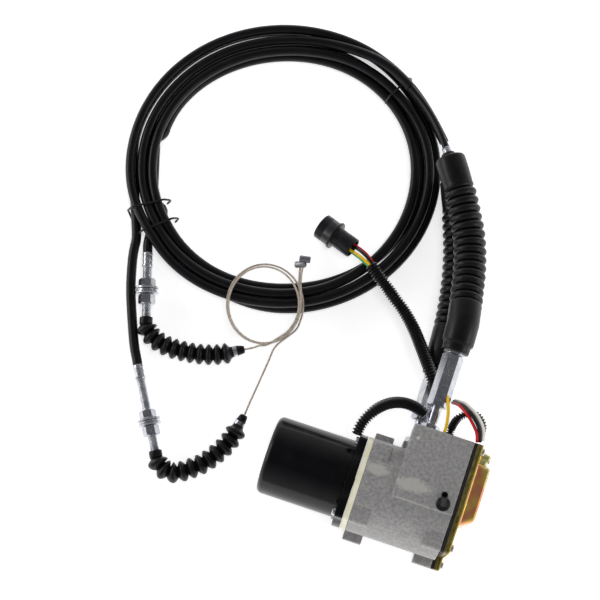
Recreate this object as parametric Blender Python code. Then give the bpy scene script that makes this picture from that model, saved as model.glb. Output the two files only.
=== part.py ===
# Engine governor actuator: a geared motor that pulls two throttle cables.
# X runs along the motor axis from the can to the pressed cover, Y towards the
# cable outlets and Z up. The origin is under the motor axis, in the middle of
# the motor-end foot's underside, on the surface that the actuator lies on.
import math

import bmesh
import bpy
from mathutils import Matrix, Vector

# Clearances
GAP = 0.0003
RUNNING_GAP = 0.0002
OVERLAP = 0.001
CUT_THROUGH = 0.002

# Cast housing, measured from the motor axis
AXIS_HEIGHT = 0.052
HOUSING_LENGTH = 0.094
BARREL_RADIUS = 0.048
LUG_LENGTH = 0.0195
LUG_INSET = 0.0065
LUG_CORNER = 0.004
FOOT_REACH_FRONT = 0.0544
FOOT_REACH_REAR = 0.0590
FOOT_HEIGHT = 0.017
GEAR_BORE_RADIUS = 0.040
WEB_THICKNESS = 0.008
REAR_BORE_STEP = 0.002
FOOT_HOLE_RADIUS = 0.0042
FOOT_HOLE_DEPTH = 0.013
FOOT_HOLE_INSET = 0.0075
BODY_SEGMENTS = 32
SHAFT_SEGMENTS = 12

# Cable block on the rear of the housing
BLOCK_START = 0.033
BLOCK_FRONT = -0.005
BLOCK_REAR = 0.070
BLOCK_RISE = 0.002
BLOCK_STEP = -0.008
BLOCK_BOTTOM = -0.036
OUTLET_STAGGER = 0.013
LOWER_BLOCK_START = 0.0285

# Outlets: two stubs with lock nuts and hex couplings
OUTLET_RISE = 0.0215
UPPER_OUTLET_X = 0.049
LOWER_OUTLET_X = 0.039
STUB_RADIUS = 0.0055
STUB_LENGTH = 0.046
STUB_DEPTH = 0.016
LOCK_NUT_WIDTH = 0.017
LOCK_NUT_THICKNESS = 0.006
COUPLING_WIDTH = 0.019
COUPLING_LENGTH = 0.0675
COUPLING_OVERLAP = 0.005
COUPLING_CHAMFER = 0.002
COUPLING_FACE = 0.96
COUPLING_FLAT = 0.25
WIRE_RADIUS = 0.00125
WIRE_HOLE_RADIUS = 0.0019
WIRE_START = 0.008
WIRE_LENGTH = 0.112

# Motor
SPACER_THICKNESS = 0.006
SPACER_BORE_RADIUS = 0.0395
END_PLATE_THICKNESS = 0.0085
CAN_RADIUS = 0.040
CAN_LENGTH = 0.0822
CAN_WALL = 0.002
CAN_CORNER = 0.006
MAGNET_THICKNESS = 0.0065
MAGNET_LENGTH = 0.050
AIR_GAP = 0.0008
CORE_LENGTH = 0.040
CORE_POLES = 6
CORE_HUB_RADIUS = 0.011
POLE_SHOE = 0.004
POLE_SHARE = 0.82
NECK_SHARE = 0.45
NECK_TAPER = 0.6
CORE_FROM_END = 0.014
WINDING_LENGTH = 0.004
WINDING_SEAT = 0.001
WINDING_INNER = 0.010
WINDING_OUTER = 0.0255
COMMUTATOR_RADIUS = 0.011
COMMUTATOR_LENGTH = 0.012
SHAFT_RADIUS = 0.004
REAR_BUSH_RADIUS = 0.009
REAR_BUSH_LENGTH = 0.008
BEARING_RADIUS = 0.011
BEARING_WIDTH = 0.007
BRUSH_PLATE_THICKNESS = 0.002
BRUSH_WIDTH = 0.006
BRUSH_LENGTH = 0.012
BRUSH_PLATE_INSET = 0.0025
MOTOR_SCREW_INSET_Y = 0.005
MOTOR_SCREW_INSET_Z = 0.008
SCREW_RADIUS = 0.0022
SCREW_HEAD_RADIUS = 0.0042
SCREW_HEAD_HEIGHT = 0.0032
SCREW_BITE = 0.005
SCREW_SEGMENTS = 6
SCREW_SEAT = 0.0005

# Two-stage planetary gear, one ring gear for both stages
MODULE = 0.00175
SUN_TEETH = 12
PLANET_TEETH = 12
PLANET_COUNT = 3
RING_TEETH = SUN_TEETH + 2 * PLANET_TEETH
ADDENDUM = 0.85
DEDENDUM = 1.2
TOOTH_TIP = 0.60
TOOTH_ROOT = 1.75
RING_START = 0.002
RING_LENGTH = 0.0275
FIRST_FACE_START = 0.004
FACE_WIDTH = 0.008
CARRIER_RADIUS = 0.026
CARRIER_THICKNESS = 0.003
FACE_CLEARANCE = 0.0005
PIN_RADIUS = 0.003
PIN_SEGMENTS = 8
OUTPUT_SHAFT_RADIUS = 0.007
OUTPUT_BUSH_RADIUS = 0.010
STUB_SHAFT_RADIUS = 0.004
SHAFT_STEP = 0.002

# Cable drum
DRUM_RADIUS = 0.025
DRUM_LIP = 0.0055
DRUM_CLEARANCE = 0.0025
GROOVE_HALF_WIDTH = 0.0017
DRUM_SEGMENTS = 16

# Position sensor and its gears
SENSOR_Y = 0.022
SENSOR_TEETH = 12
SENSOR_GEAR_SETBACK = 0.011
SENSOR_FACE_WIDTH = 0.005
SPINDLE_RADIUS = 0.003
SPINDLE_REACH = 0.006
SENSOR_RADIUS = 0.015
SENSOR_HEIGHT = 0.010
SENSOR_CHAMFER = 0.002
SENSOR_SEGMENTS = 16

# End gasket, end plate and pressed cover
GASKET_THICKNESS = 0.003
PLATE_THICKNESS = 0.004
SHEET = 0.0014
COVER_DEPTH = 0.0155
COVER_FRONT = -0.012
COVER_REAR = 0.054
COVER_TOP = 0.040
COVER_BOTTOM = -0.026
COVER_FRONT_SLOPE = 0.007
COVER_SIDE_SLOPE = 0.002
COVER_CORNER = 0.006
COVER_EDGE = 0.003
BUMP_REAR = 0.0655
BUMP_GAP = 0.002
BUMP_BOTTOM = 0.008
BUMP_TOP_INSET = 0.002
PRESSING_SEAT = 0.0004
PRESSING_MOUTH = 0.001
# Each level of a pressing: edges back from its face, share of the side slopes, share of the edge
PRESSING_LEVELS = ((1.0, 0.78, 0.2), (0.3, 0.95, 0.5), (0.0, 1.0, 1.0))
COVER_SCREW_INSET = 0.0065
PLATE_INSET = 0.0006

# Vent nipple on the block
VENT_X = 0.0825
VENT_Y = 0.0035
VENT_FLANGE_RADIUS = 0.007
VENT_STEM_RADIUS = 0.00325
VENT_HEIGHT = 0.015
VENT_LEAN = 0.0045
VENT_FLANGE_THICKNESS = 0.0022
VENT_SHOULDER_RADIUS = 0.0056
VENT_SHOULDER = 0.0034
VENT_STEM_START = 0.0036
VENT_BORE_RADIUS = 0.0018
VENT_BORE_FLOOR = 0.006
VENT_SIDES = 12

# Large bellows boots over the outlet ends of the cables
BOOT_CREST = 0.0168
BOOT_ROOT = 0.0140
BOOT_FOLDS = 14
BOOT_PITCH = 0.0089
BOOT_COLLAR_RADIUS = 0.0142
BOOT_CUFF_RADIUS = 0.0164
BOOT_COLLAR_LENGTH = 0.009
LOWER_BOOT_GRIP = 0.018
BOOT_LOWER_CUFF = 0.0445
BOOT_UPPER_CUFF = 0.0364
BOOT_NECK_RADIUS = 0.0072
BOOT_NECK_LENGTH = 0.005
BOOT_WALL = 0.002
BOOT_SIDES = 10
BOOT_BEVEL = 0.001
BOOT_LAST_FOLD = (0.4, 0.7)
BOOT_BORE_FROM_TOP = 3
BOOT_BORE_FOLDS = 3
FERRULE_RADIUS = 0.0047
FERRULE_LENGTH = 0.013
FERRULE_EXPOSED = 0.007
FERRULE_CHAMFER = 0.001
FERRULE_TAPER = 0.0006
FERRULE_SIDES = 12
FERRULE_RING = 0.004
CABLE_RADIUS = 0.0035
SLEEVE_RADIUS = 0.0051

# Coil of both cables: an oval ring, wider at its left
COIL_TURN = math.radians(18.5)
COIL_OUTER_CENTRE = (-0.1912, 0.2962)
COIL_OUTER = (0.1645, 0.1540)
COIL_INNER_CENTRE = (-0.1855, 0.2970)
COIL_INNER = (0.1295, 0.1198)
COIL_BOTTOM = 0.0004
COIL_TOP = 0.0208
COIL_SECTIONS = 36
COIL_CHAMFER = 0.005
TIE_RADIUS = 0.0011
TIE_SIDES = 6
TIE_INNER_LOW = 0.0074
TIE_OUTER_LOW = 0.0094
TIE_ANGLES_LEFT = (197.0, 207.0)
TIE_ANGLES_RIGHT = (37.0,)

# Threaded cable ends
HUB_RADIUS = 0.005
HUB_SIDES = 10
CRIMP_RADIUS = 0.0056
CRIMP_LENGTH = 0.016
HUB_BORE = 0.0016
NUT_WIDTH = 0.0155
NUT_THICKNESS = 0.0085
WASHER_RADIUS = 0.0122
WASHER_THICKNESS = 0.0022
WASHER_COUNT = 3
WASHER_GAP = 0.0004
NUT_EXTRA = 0.003
NUT_FROM_END = 0.048
END_COLLAR_LENGTH = 0.008
END_COLLAR_RADIUS = 0.0068
END_CREST = 0.0104
END_ROOT = 0.0074
END_FOLDS = 11
END_PITCH_A = 0.0091
END_PITCH_B = 0.0098
END_TAIL_RADIUS = 0.0055
END_TAIL_LENGTH = 0.009
END_SIDES = 8
END_WALL = 0.0018
END_GRIP_LENGTH = 0.010
END_SLACK = 0.0010
TIP_RADIUS = 0.0042
TIP_LENGTH = 0.006
BAND_RADIUS = 0.0068
BAND_LENGTH = 0.0024
BAND_SEAT = 0.9
BAND_FROM_END = 0.0054
TAIL_BEVEL = 0.002
ROPE_RADIUS = 0.001
ROPE_RING_CENTRE = (-0.1615, 0.148, 0.02335)
ROPE_RING_RADII = (0.0378, 0.0410)
ROPE_RING_SECTIONS = 24
ROPE_RING_SIDES = 5
ROPE_RING_WIDTH = 0.0042
ROPE_RING_HALF_HEIGHT = 0.0022
NIPPLE_RADIUS = 0.0035
NIPPLE_LENGTH = 0.0115
NIPPLE_A = (-0.1420, 0.2030, 0.0258)
NIPPLE_A_TURN = 40.0
NIPPLE_A_TAIL = 0.0186
NIPPLE_B = (-0.1440, 0.1955, 0.0234)
NIPPLE_B_TURN = 15.0
NIPPLE_B_TAIL = 0.0140

# Harness
CONNECTOR_RADIUS = 0.01375
CONNECTOR_FLANGE_RADIUS = 0.0152
CONNECTOR_REAR_RADIUS = 0.0108
CONNECTOR_LENGTH = 0.042
CONNECTOR_WALL = 0.0016
CONNECTOR_FLANGE_X = 0.0168
CONNECTOR_FLANGE_THICKNESS = 0.003
CONNECTOR_MOUTH_DEPTH = 0.0126
CONNECTOR_REAR_DEPTH = 0.010
CONNECTOR_SIDES = 18
CONNECTOR_FRONT = (-0.132, 0.248, 0.0158)
CONNECTOR_BACK = (-0.0915, 0.2335, 0.0215)
CONNECTOR_BUNDLE_RADIUS = 0.005
HARNESS_RADIUS = 0.0066
MOTOR_CONDUIT_RADIUS = 0.0058
SENSOR_CONDUIT_RADIUS = 0.004
WIRE_COLOUR_RADIUS = 0.0016
SENSOR_WIRES_RADIUS = 0.0034

# Spacing of a cord's rings, in diameters, and of the points that routes are measured by
CABLE_SPACING = 2.5
ROPE_SPACING = 3.0
CONDUIT_SPACING = 1.2
BUNDLE_SPACING = 1.0
ROUTE_SPACING = 0.002
ROUTE_STEPS = 16
ROUTE_START = 0.004

# Routes of the cables and the harness, chosen by hand along their real paths, in metres
UPPER_ROUTE = [
    (0.03925, 0.130, 0.0735), (0.03925, 0.150, 0.0735), (0.03925, 0.170, 0.0735),
    (0.0385, 0.184, 0.0718), (0.036, 0.201, 0.067), (0.033, 0.218, 0.062),
    (0.029, 0.240, 0.0567), (0.023, 0.262, 0.0535), (0.016, 0.280, 0.0523),
    (0.007, 0.297, 0.0520), (-0.002, 0.313, 0.0520), (-0.012, 0.329, 0.0518),
    (-0.0215, 0.343, 0.0508), (-0.0300, 0.3555, 0.0491), (-0.0385, 0.368, 0.0468),
    (-0.048, 0.3815, 0.0418), (-0.061, 0.398, 0.0325), (-0.070, 0.407, 0.0272),
]
LOWER_ROUTE = [
    (0.02925, 0.117, 0.0305), (0.02925, 0.137, 0.0305), (0.02925, 0.157, 0.0305),
    (0.0288, 0.170, 0.0288), (0.028, 0.185, 0.0250), (0.0265, 0.201, 0.0215),
    (0.023, 0.225, 0.0188), (0.0175, 0.251, 0.0176), (0.0105, 0.275, 0.0172),
    (0.0010, 0.301, 0.0172), (-0.0085, 0.325, 0.0172), (-0.0160, 0.343, 0.0172),
    (-0.0235, 0.3585, 0.017), (-0.0315, 0.3705, 0.0158), (-0.041, 0.380, 0.0136),
    (-0.0514, 0.3869, 0.0119),
]
TAIL_ROUTE = [
    (-0.3135, 0.1801, 0.0112), (-0.3117, 0.1684, 0.0104), (-0.3090, 0.1525, 0.0096),
    (-0.3008, 0.1238, 0.0090), (-0.2894, 0.0951, 0.0090), (-0.2767, 0.0668, 0.0106),
    (-0.2696, 0.0545, 0.0120), (-0.2664, 0.0486, 0.0126),
]
HUB_A = ((-0.2957, 0.1636, 0.0126), (-0.2720, 0.0913, 0.0126))
HUB_B = ((-0.2661, 0.0480, 0.0126), (-0.2168, -0.0347, 0.0126))
END_BOOT_A_ROUTE = [
    (-0.2744, 0.0983, 0.0126), (-0.2731, 0.0943, 0.0126), (-0.2716, 0.0898, 0.0126),
    (-0.2663, 0.0838, 0.0123), (-0.2569, 0.0789, 0.0120), (-0.2446, 0.0764, 0.0116),
    (-0.2351, 0.0761, 0.0112), (-0.2252, 0.0768, 0.0112), (-0.2157, 0.0780, 0.0112),
    (-0.2064, 0.0798, 0.0112), (-0.1978, 0.0823, 0.0112), (-0.1894, 0.0855, 0.0112),
    (-0.1814, 0.0896, 0.0114), (-0.1737, 0.0946, 0.0118), (-0.1652, 0.0991, 0.0124),
    (-0.1596, 0.1022, 0.0128),
]
END_BOOT_B_ROUTE = [
    (-0.2196, -0.0300, 0.0126), (-0.2174, -0.0338, 0.0126), (-0.2150, -0.0378, 0.0126),
    (-0.2090, -0.0436, 0.0123), (-0.1988, -0.0462, 0.0118), (-0.1900, -0.0436, 0.0114),
    (-0.1822, -0.0382, 0.0112), (-0.1738, -0.0316, 0.0112), (-0.1667, -0.0243, 0.0112),
    (-0.1605, -0.0156, 0.0112), (-0.1552, -0.0070, 0.0112), (-0.1511, 0.0021, 0.0112),
    (-0.1481, 0.0119, 0.0114), (-0.1466, 0.0231, 0.0118), (-0.1447, 0.0319, 0.0124),
    (-0.1438, 0.0382, 0.0128),
]
ROPE_A_ROUTE = [
    (-0.1577, 0.1032, 0.0145), (-0.1527, 0.1064, 0.0175), (-0.1492, 0.1057, 0.0212),
]
ROPE_B_ROUTE = [
    (-0.1439, 0.0499, 0.0145), (-0.1421, 0.0704, 0.0170), (-0.1405, 0.0930, 0.0198),
    (-0.1388, 0.1040, 0.0220), (-0.1382, 0.1104, 0.0230),
]
HARNESS_ROUTE = [
    (-0.0700, 0.2215, 0.0302), (-0.0570, 0.2115, 0.0295), (-0.0460, 0.2040, 0.0290),
    (-0.0360, 0.1960, 0.0305), (-0.0220, 0.1855, 0.0320), (-0.0075, 0.1710, 0.0360),
    (0.0050, 0.1550, 0.0420), (0.0150, 0.1410, 0.0480), (0.0230, 0.1300, 0.0515),
    (0.0310, 0.1180, 0.0520), (0.0370, 0.1080, 0.0520),
]
MOTOR_CONDUIT_ROUTE = [
    (-0.0278, 0.0422, 0.0850), (-0.0278, 0.0490, 0.0852), (-0.0262, 0.0580, 0.0850),
    (-0.0200, 0.0690, 0.0838), (-0.0120, 0.0775, 0.0800), (-0.0030, 0.0840, 0.0745),
    (0.0070, 0.0870, 0.0680), (0.0150, 0.0900, 0.0610), (0.0225, 0.0935, 0.0550),
    (0.0300, 0.0960, 0.0520),
]
SENSOR_CONDUIT_ROUTE = [
    (0.0590, 0.0716, 0.0800), (0.0590, 0.0770, 0.0801), (0.0595, 0.0825, 0.0850),
    (0.0615, 0.0880, 0.0905),
    (0.0660, 0.0930, 0.0930), (0.0730, 0.0970, 0.0940), (0.0800, 0.0960, 0.0930),
    (0.0860, 0.0910, 0.0900), (0.0885, 0.0840, 0.0860), (0.0880, 0.0765, 0.0830),
]
SENSOR_WIRES_ROUTE = [
    (0.0530, 0.1060, 0.0620), (0.0560, 0.1035, 0.0790), (0.0600, 0.1010, 0.0950),
    (0.0660, 0.0970, 0.1040), (0.0730, 0.0920, 0.1065), (0.0795, 0.0860, 0.1060),
    (0.0850, 0.0795, 0.1035), (0.0884, 0.0728, 0.0975),
]
YELLOW_ROUTE = [
    (0.0500, 0.0900, 0.0900), (0.0520, 0.0830, 0.0930), (0.0530, 0.0760, 0.0935),
    (0.0530, 0.0703, 0.0930),
]
CONNECTOR_WIRES_ROUTE = [
    (-0.1018, 0.2372, 0.0201), (-0.0912, 0.2334, 0.0217), (-0.0808, 0.2285, 0.0278),
    (-0.0710, 0.2226, 0.0302),
]

# Sizes and places that follow from the sizes above
LUG_REACH = BARREL_RADIUS - LUG_INSET
BLOCK_TOP = BARREL_RADIUS + BLOCK_RISE
REAR_BORE_RADIUS = GEAR_BORE_RADIUS - REAR_BORE_STEP
MOTOR_SCREW_Y = LUG_REACH - MOTOR_SCREW_INSET_Y
MOTOR_SCREW_Z = LUG_REACH - MOTOR_SCREW_INSET_Z
DRUM_START = LOWER_OUTLET_X - DRUM_LIP
DRUM_END = UPPER_OUTLET_X + DRUM_LIP
GEAR_BORE_DEPTH = DRUM_END + DRUM_CLEARANCE
SENSOR_FACE_START = GEAR_BORE_DEPTH + WEB_THICKNESS + SENSOR_GEAR_SETBACK
HOUSING_X0 = -LUG_LENGTH / 2
HOUSING_X1 = HOUSING_X0 + HOUSING_LENGTH
BASE = -AXIS_HEIGHT
END_PLATE_X1 = HOUSING_X0 - SPACER_THICKNESS - GAP
END_PLATE_X0 = END_PLATE_X1 - END_PLATE_THICKNESS
CAN_X1 = END_PLATE_X0 - GAP
CAN_X0 = CAN_X1 - CAN_LENGTH
GASKET_X1 = HOUSING_X1 + GAP + GASKET_THICKNESS
PLATE_X0 = GASKET_X1 + GAP
PLATE_X1 = PLATE_X0 + PLATE_THICKNESS
FLANGE_X0 = PLATE_X1 + GAP
FLANGE_X1 = FLANGE_X0 + SHEET
PLANET_ORBIT = MODULE * (SUN_TEETH + PLANET_TEETH) / 2
WEB_X0 = HOUSING_X0 + GEAR_BORE_DEPTH
WEB_X1 = WEB_X0 + WEB_THICKNESS


def clear_scene():
    for item in list(bpy.data.objects):
        bpy.data.objects.remove(item, do_unlink=True)


def finish(name, colour, roughness, metallic):
    material = bpy.data.materials.get(name) or bpy.data.materials.new(name)
    material.use_nodes = True
    shader = material.node_tree.nodes["Principled BSDF"]
    shader.inputs["Base Color"].default_value = (*colour, 1.0)
    shader.inputs["Roughness"].default_value = roughness
    shader.inputs["Metallic"].default_value = metallic
    return material


def make_finishes():
    return {
        "black_enamel": finish("black_enamel", (0.012, 0.012, 0.014), 0.18, 0.0),
        "black_plastic": finish("black_plastic", (0.014, 0.014, 0.015), 0.35, 0.0),
        "black_rubber": finish("black_rubber", (0.012, 0.012, 0.012), 0.55, 0.0),
        "gasket": finish("gasket", (0.02, 0.018, 0.017), 0.7, 0.0),
        "cream": finish("cream", (0.82, 0.76, 0.55), 0.5, 0.0),
        "cast_aluminium": finish("cast_aluminium", (0.42, 0.42, 0.43), 0.45, 0.9),
        "zinc": finish("zinc", (0.6, 0.62, 0.66), 0.25, 1.0),
        "zinc_yellow": finish("zinc_yellow", (0.72, 0.5, 0.16), 0.3, 0.9),
        "steel": finish("steel", (0.5, 0.5, 0.5), 0.3, 1.0),
        "gear_steel": finish("gear_steel", (0.35, 0.35, 0.36), 0.35, 1.0),
        "bronze": finish("bronze", (0.55, 0.36, 0.14), 0.4, 1.0),
        "ferrite": finish("ferrite", (0.05, 0.05, 0.055), 0.6, 0.0),
        "rope": finish("rope", (0.45, 0.40, 0.34), 0.4, 1.0),
        "wires": finish("wires", (0.6, 0.05, 0.04), 0.4, 0.0),
    }


def bore_radius(shaft, segments, clearance=GAP):
    # The flats of a faceted bore clear a shaft that turns in it
    return (shaft + clearance) / math.cos(math.pi / segments)


def add_object(name, mesh_source, material, at=(0.0, 0.0, 0.0), parent=None, sharp=35.0):
    bmesh.ops.remove_doubles(mesh_source, verts=mesh_source.verts, dist=1e-7)
    bmesh.ops.recalc_face_normals(mesh_source, faces=mesh_source.faces)
    mesh = bpy.data.meshes.new(name)
    mesh_source.to_mesh(mesh)
    mesh_source.free()
    mesh.materials.append(material)
    mesh.shade_smooth()
    mesh.set_sharp_from_angle(angle=math.radians(sharp))
    thing = bpy.data.objects.new(name, mesh)
    thing.location = at
    thing.parent = parent
    bpy.context.scene.collection.objects.link(thing)
    return thing


def combine(target, tool, operation):
    # The tool shape is a guide: it takes part in the Boolean and is not a piece itself
    tool.hide_render = True
    tool.display_type = "WIRE"
    modifier = target.modifiers.new(operation.lower(), "BOOLEAN")
    modifier.operation = operation
    modifier.solver = "EXACT"
    modifier.object = tool


def turned(shape, profile, segments, place=Matrix.Identity(4), closed=True):
    # Revolves (along, radius) points about local X
    before = set(shape.verts)
    verts = [shape.verts.new((x, 0.0, r)) for x, r in profile]
    pairs = list(zip(verts, verts[1:]))
    if closed:
        pairs.append((verts[-1], verts[0]))
    edges = [shape.edges.new(pair) for pair in pairs]
    bmesh.ops.spin(
        shape, geom=verts + edges, cent=(0, 0, 0), axis=(1, 0, 0), dvec=(0, 0, 0),
        angle=math.tau, steps=segments, use_merge=True, use_duplicate=False,
    )
    settle(shape, before, place)


def settle(shape, before, place):
    # Welds what was made since the set before was taken, and moves it into place
    made = [v for v in shape.verts if v not in before]
    bmesh.ops.remove_doubles(shape, verts=made, dist=1e-6)
    made = [v for v in shape.verts if v not in before]
    bmesh.ops.transform(shape, matrix=place, verts=made)


def circle(radius, segments, centre=(0.0, 0.0), start=0.0):
    steps = [start + math.tau * i / segments for i in range(segments)]
    return [(centre[0] + radius * math.cos(a), centre[1] + radius * math.sin(a)) for a in steps]


def arc(centre, radius, first, last, steps):
    # Points of an arc, angles in degrees from +Y towards +Z
    angles = [math.radians(first + (last - first) * i / steps) for i in range(steps + 1)]
    return [(centre[0] + radius * math.cos(a), centre[1] + radius * math.sin(a)) for a in angles]


def prism(shape, loops, start, end, place=Matrix.Identity(4)):
    # Extrudes closed (y, z) loops from start to end along local X; later loops are holes
    before = set(shape.verts)
    edges = []
    for loop in loops:
        verts = [shape.verts.new((start, y, z)) for y, z in loop]
        edges += [shape.edges.new((a, b)) for a, b in zip(verts, verts[1:] + verts[:1])]
    filled = bmesh.ops.triangle_fill(shape, edges=edges, use_beauty=True)
    faces = [item for item in filled["geom"] if isinstance(item, bmesh.types.BMFace)]
    grown = bmesh.ops.extrude_face_region(shape, geom=faces, use_keep_orig=True)
    lifted = [item for item in grown["geom"] if isinstance(item, bmesh.types.BMVert)]
    bmesh.ops.translate(shape, vec=(end - start, 0, 0), verts=lifted)
    settle(shape, before, place)


def skin(shape, rings, closed=False):
    # Joins rings of equally many points; the ends are capped unless the skin closes on itself
    loops = [[shape.verts.new(point) for point in ring] for ring in rings]
    pairs = list(zip(loops, loops[1:]))
    if closed:
        pairs.append((loops[-1], loops[0]))
    for first, second in pairs:
        count = len(first)
        for i in range(count):
            j = (i + 1) % count
            shape.faces.new((first[i], first[j], second[j], second[i]))
    if not closed:
        shape.faces.new(loops[0])
        shape.faces.new(loops[-1])


def along(start, end):
    # Local X runs from start to end
    start, end = Vector(start), Vector(end)
    turn = (end - start).to_track_quat("X", "Z").to_matrix().to_4x4()
    return Matrix.Translation(start) @ turn


def outlet_place(x, y, z):
    # Local X runs along the outlet, towards +Y
    return Matrix.Translation((x, y, z)) @ Matrix.Rotation(math.pi / 2, 4, "Z")


def hexagonal_bar(shape, width, start, end, bore, place, chamfer, counterbore):
    # A hexagonal bar with chamfered ends; 12 points a ring, corners and flats in turn
    corner = width / 2 / math.cos(math.pi / 6)
    face = width / 2 * COUPLING_FACE
    flat = chamfer * COUPLING_FLAT
    angles = [math.tau * i / 12 for i in range(12)]

    def ring(x, radii, shift=0.0):
        return [
            place @ Vector((x + (shift if i % 2 == 0 else 0.0), r * math.cos(a), r * math.sin(a)))
            for i, (a, r) in enumerate(zip(angles, radii))
        ]

    hexagon = [corner if i % 2 == 0 else width / 2 for i in range(12)]
    rings = [
        ring(start, [face] * 12),
        ring(start + flat, hexagon, chamfer),
        ring(end - flat, hexagon, -chamfer),
        ring(end, [face] * 12),
        ring(end, [bore] * 12),
    ]
    radius, depth = counterbore
    for x, inner in ((start + depth, bore), (start + depth, radius), (start, radius)):
        rings.append(ring(x, [inner] * 12))
    skin(shape, rings, closed=True)


def fused_nut(shape, width, start, thickness, seat, place):
    # A plain hexagonal nut, whose bore lies just inside the thread that it sits on
    hexagon = circle(width / 2 / math.cos(math.pi / 6), 6)
    prism(shape, [hexagon, circle(seat, 6)], start, start + thickness, place)


def screw(shape, length, place):
    # A pan head whose seat is at local x 0, and its shank towards +X
    profile = [
        (-SCREW_HEAD_HEIGHT, 0.0), (-SCREW_HEAD_HEIGHT, SCREW_HEAD_RADIUS - GAP),
        (SCREW_SEAT, SCREW_HEAD_RADIUS), (SCREW_SEAT, SCREW_RADIUS), (length, SCREW_RADIUS), (length, 0.0),
    ]
    turned(shape, profile, SCREW_SEGMENTS, place, closed=False)


def gear_outline(teeth, turn, internal=False):
    # Straight-flanked teeth, four points each, centred on turn + n pitches
    pitch_radius = MODULE * teeth / 2
    tip = pitch_radius + (-ADDENDUM if internal else ADDENDUM) * MODULE
    root = pitch_radius + (DEDENDUM if internal else -DEDENDUM) * MODULE
    half_tip = math.asin(TOOTH_TIP * MODULE / 2 / tip)
    half_root = math.asin(TOOTH_ROOT * MODULE / 2 / root)
    points = []
    for tooth in range(teeth):
        middle = turn + math.tau * tooth / teeth
        for radius, offset in ((root, -half_root), (tip, -half_tip), (tip, half_tip), (root, half_root)):
            points.append((radius * math.cos(middle + offset), radius * math.sin(middle + offset)))
    return points


def smooth_route(points, spacing):
    # Evenly spaced points on a smooth curve through the route's own points
    knots = [Vector(p) for p in points]
    knots = [knots[0] * 2 - knots[1]] + knots + [knots[-1] * 2 - knots[-2]]
    fine = []
    for a, b, c, d in zip(knots, knots[1:], knots[2:], knots[3:]):
        for step in range(ROUTE_STEPS):
            t = step / ROUTE_STEPS
            fine.append(
                0.5 * (2 * b + (c - a) * t + (2 * a - 5 * b + 4 * c - d) * t * t
                       + (3 * b - a - 3 * c + d) * t * t * t)
            )
    fine.append(knots[-2])
    lengths = [0.0]
    for a, b in zip(fine, fine[1:]):
        lengths.append(lengths[-1] + (b - a).length)
    count = max(2, round(lengths[-1] / spacing))
    return [point_at(fine, lengths, lengths[-1] * i / count) for i in range(count + 1)]


def point_at(points, lengths, distance):
    # The point that lies a given distance along a polyline
    for i in range(1, len(points)):
        if lengths[i] >= distance - 1e-9:
            share = (distance - lengths[i - 1]) / max(lengths[i] - lengths[i - 1], 1e-9)
            return points[i - 1].lerp(points[i], share)
    return points[-1].copy()


def on_route(route, distance):
    # The point that lies a given distance along a smooth route
    fine = smooth_route(route, ROUTE_SPACING)
    lengths = [0.0]
    for a, b in zip(fine, fine[1:]):
        lengths.append(lengths[-1] + (b - a).length)
    return point_at(fine, lengths, distance)


def sleeve(shape, route, profile, sides):
    # Sweeps (distance, radius) points along a route; the profile's last point joins its first
    fine = smooth_route(route, ROUTE_SPACING)
    lengths = [0.0]
    for a, b in zip(fine, fine[1:]):
        lengths.append(lengths[-1] + (b - a).length)
    rings = []
    for distance, radius in profile:
        centre = point_at(fine, lengths, distance)
        ahead = point_at(fine, lengths, min(distance + ROUTE_SPACING, lengths[-1]))
        behind = point_at(fine, lengths, max(distance - ROUTE_SPACING, 0.0))
        tangent = (ahead - behind).normalized()
        side = tangent.cross(Vector((0, 0, 1))).normalized()
        up = side.cross(tangent)
        angles = [math.tau * i / sides for i in range(sides)]
        rings.append([centre + radius * (side * math.cos(a) + up * math.sin(a)) for a in angles])
    skin(shape, rings, closed=True)


def tube(name, route, radius, material, spacing=CABLE_SPACING):
    # A plain round cord along a smooth curve, with flat ends
    curve = bpy.data.curves.new(name, "CURVE")
    curve.dimensions = "3D"
    curve.bevel_depth = radius
    curve.bevel_resolution = 2
    curve.use_fill_caps = True
    add_spline(curve, route, radius, spacing)
    curve.materials.append(material)
    thing = bpy.data.objects.new(name, curve)
    bpy.context.scene.collection.objects.link(thing)
    return thing


def add_spline(curve, route, radius, spacing):
    points = smooth_route(route, radius * 2 * spacing)
    spline = curve.splines.new("POLY")
    spline.points.add(len(points) - 1)
    for target, point in zip(spline.points, points):
        target.co = (*point, 1.0)


def end_outline():
    # Outline of the motor end: the barrel's circle joined with square corner lugs
    crossing = math.degrees(math.asin(LUG_REACH / BARREL_RADIUS))
    points = []
    for quarter in range(4):
        turn = 90.0 * quarter
        inner = LUG_REACH - LUG_CORNER
        centre = Matrix.Rotation(math.radians(turn), 2) @ Vector((inner, inner))
        points += arc((0.0, 0.0), BARREL_RADIUS, turn - 90.0 + crossing, turn + 90.0 - crossing, 4)
        points += arc(centre, LUG_CORNER, turn, turn + 90.0, 3)
    return points


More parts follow.
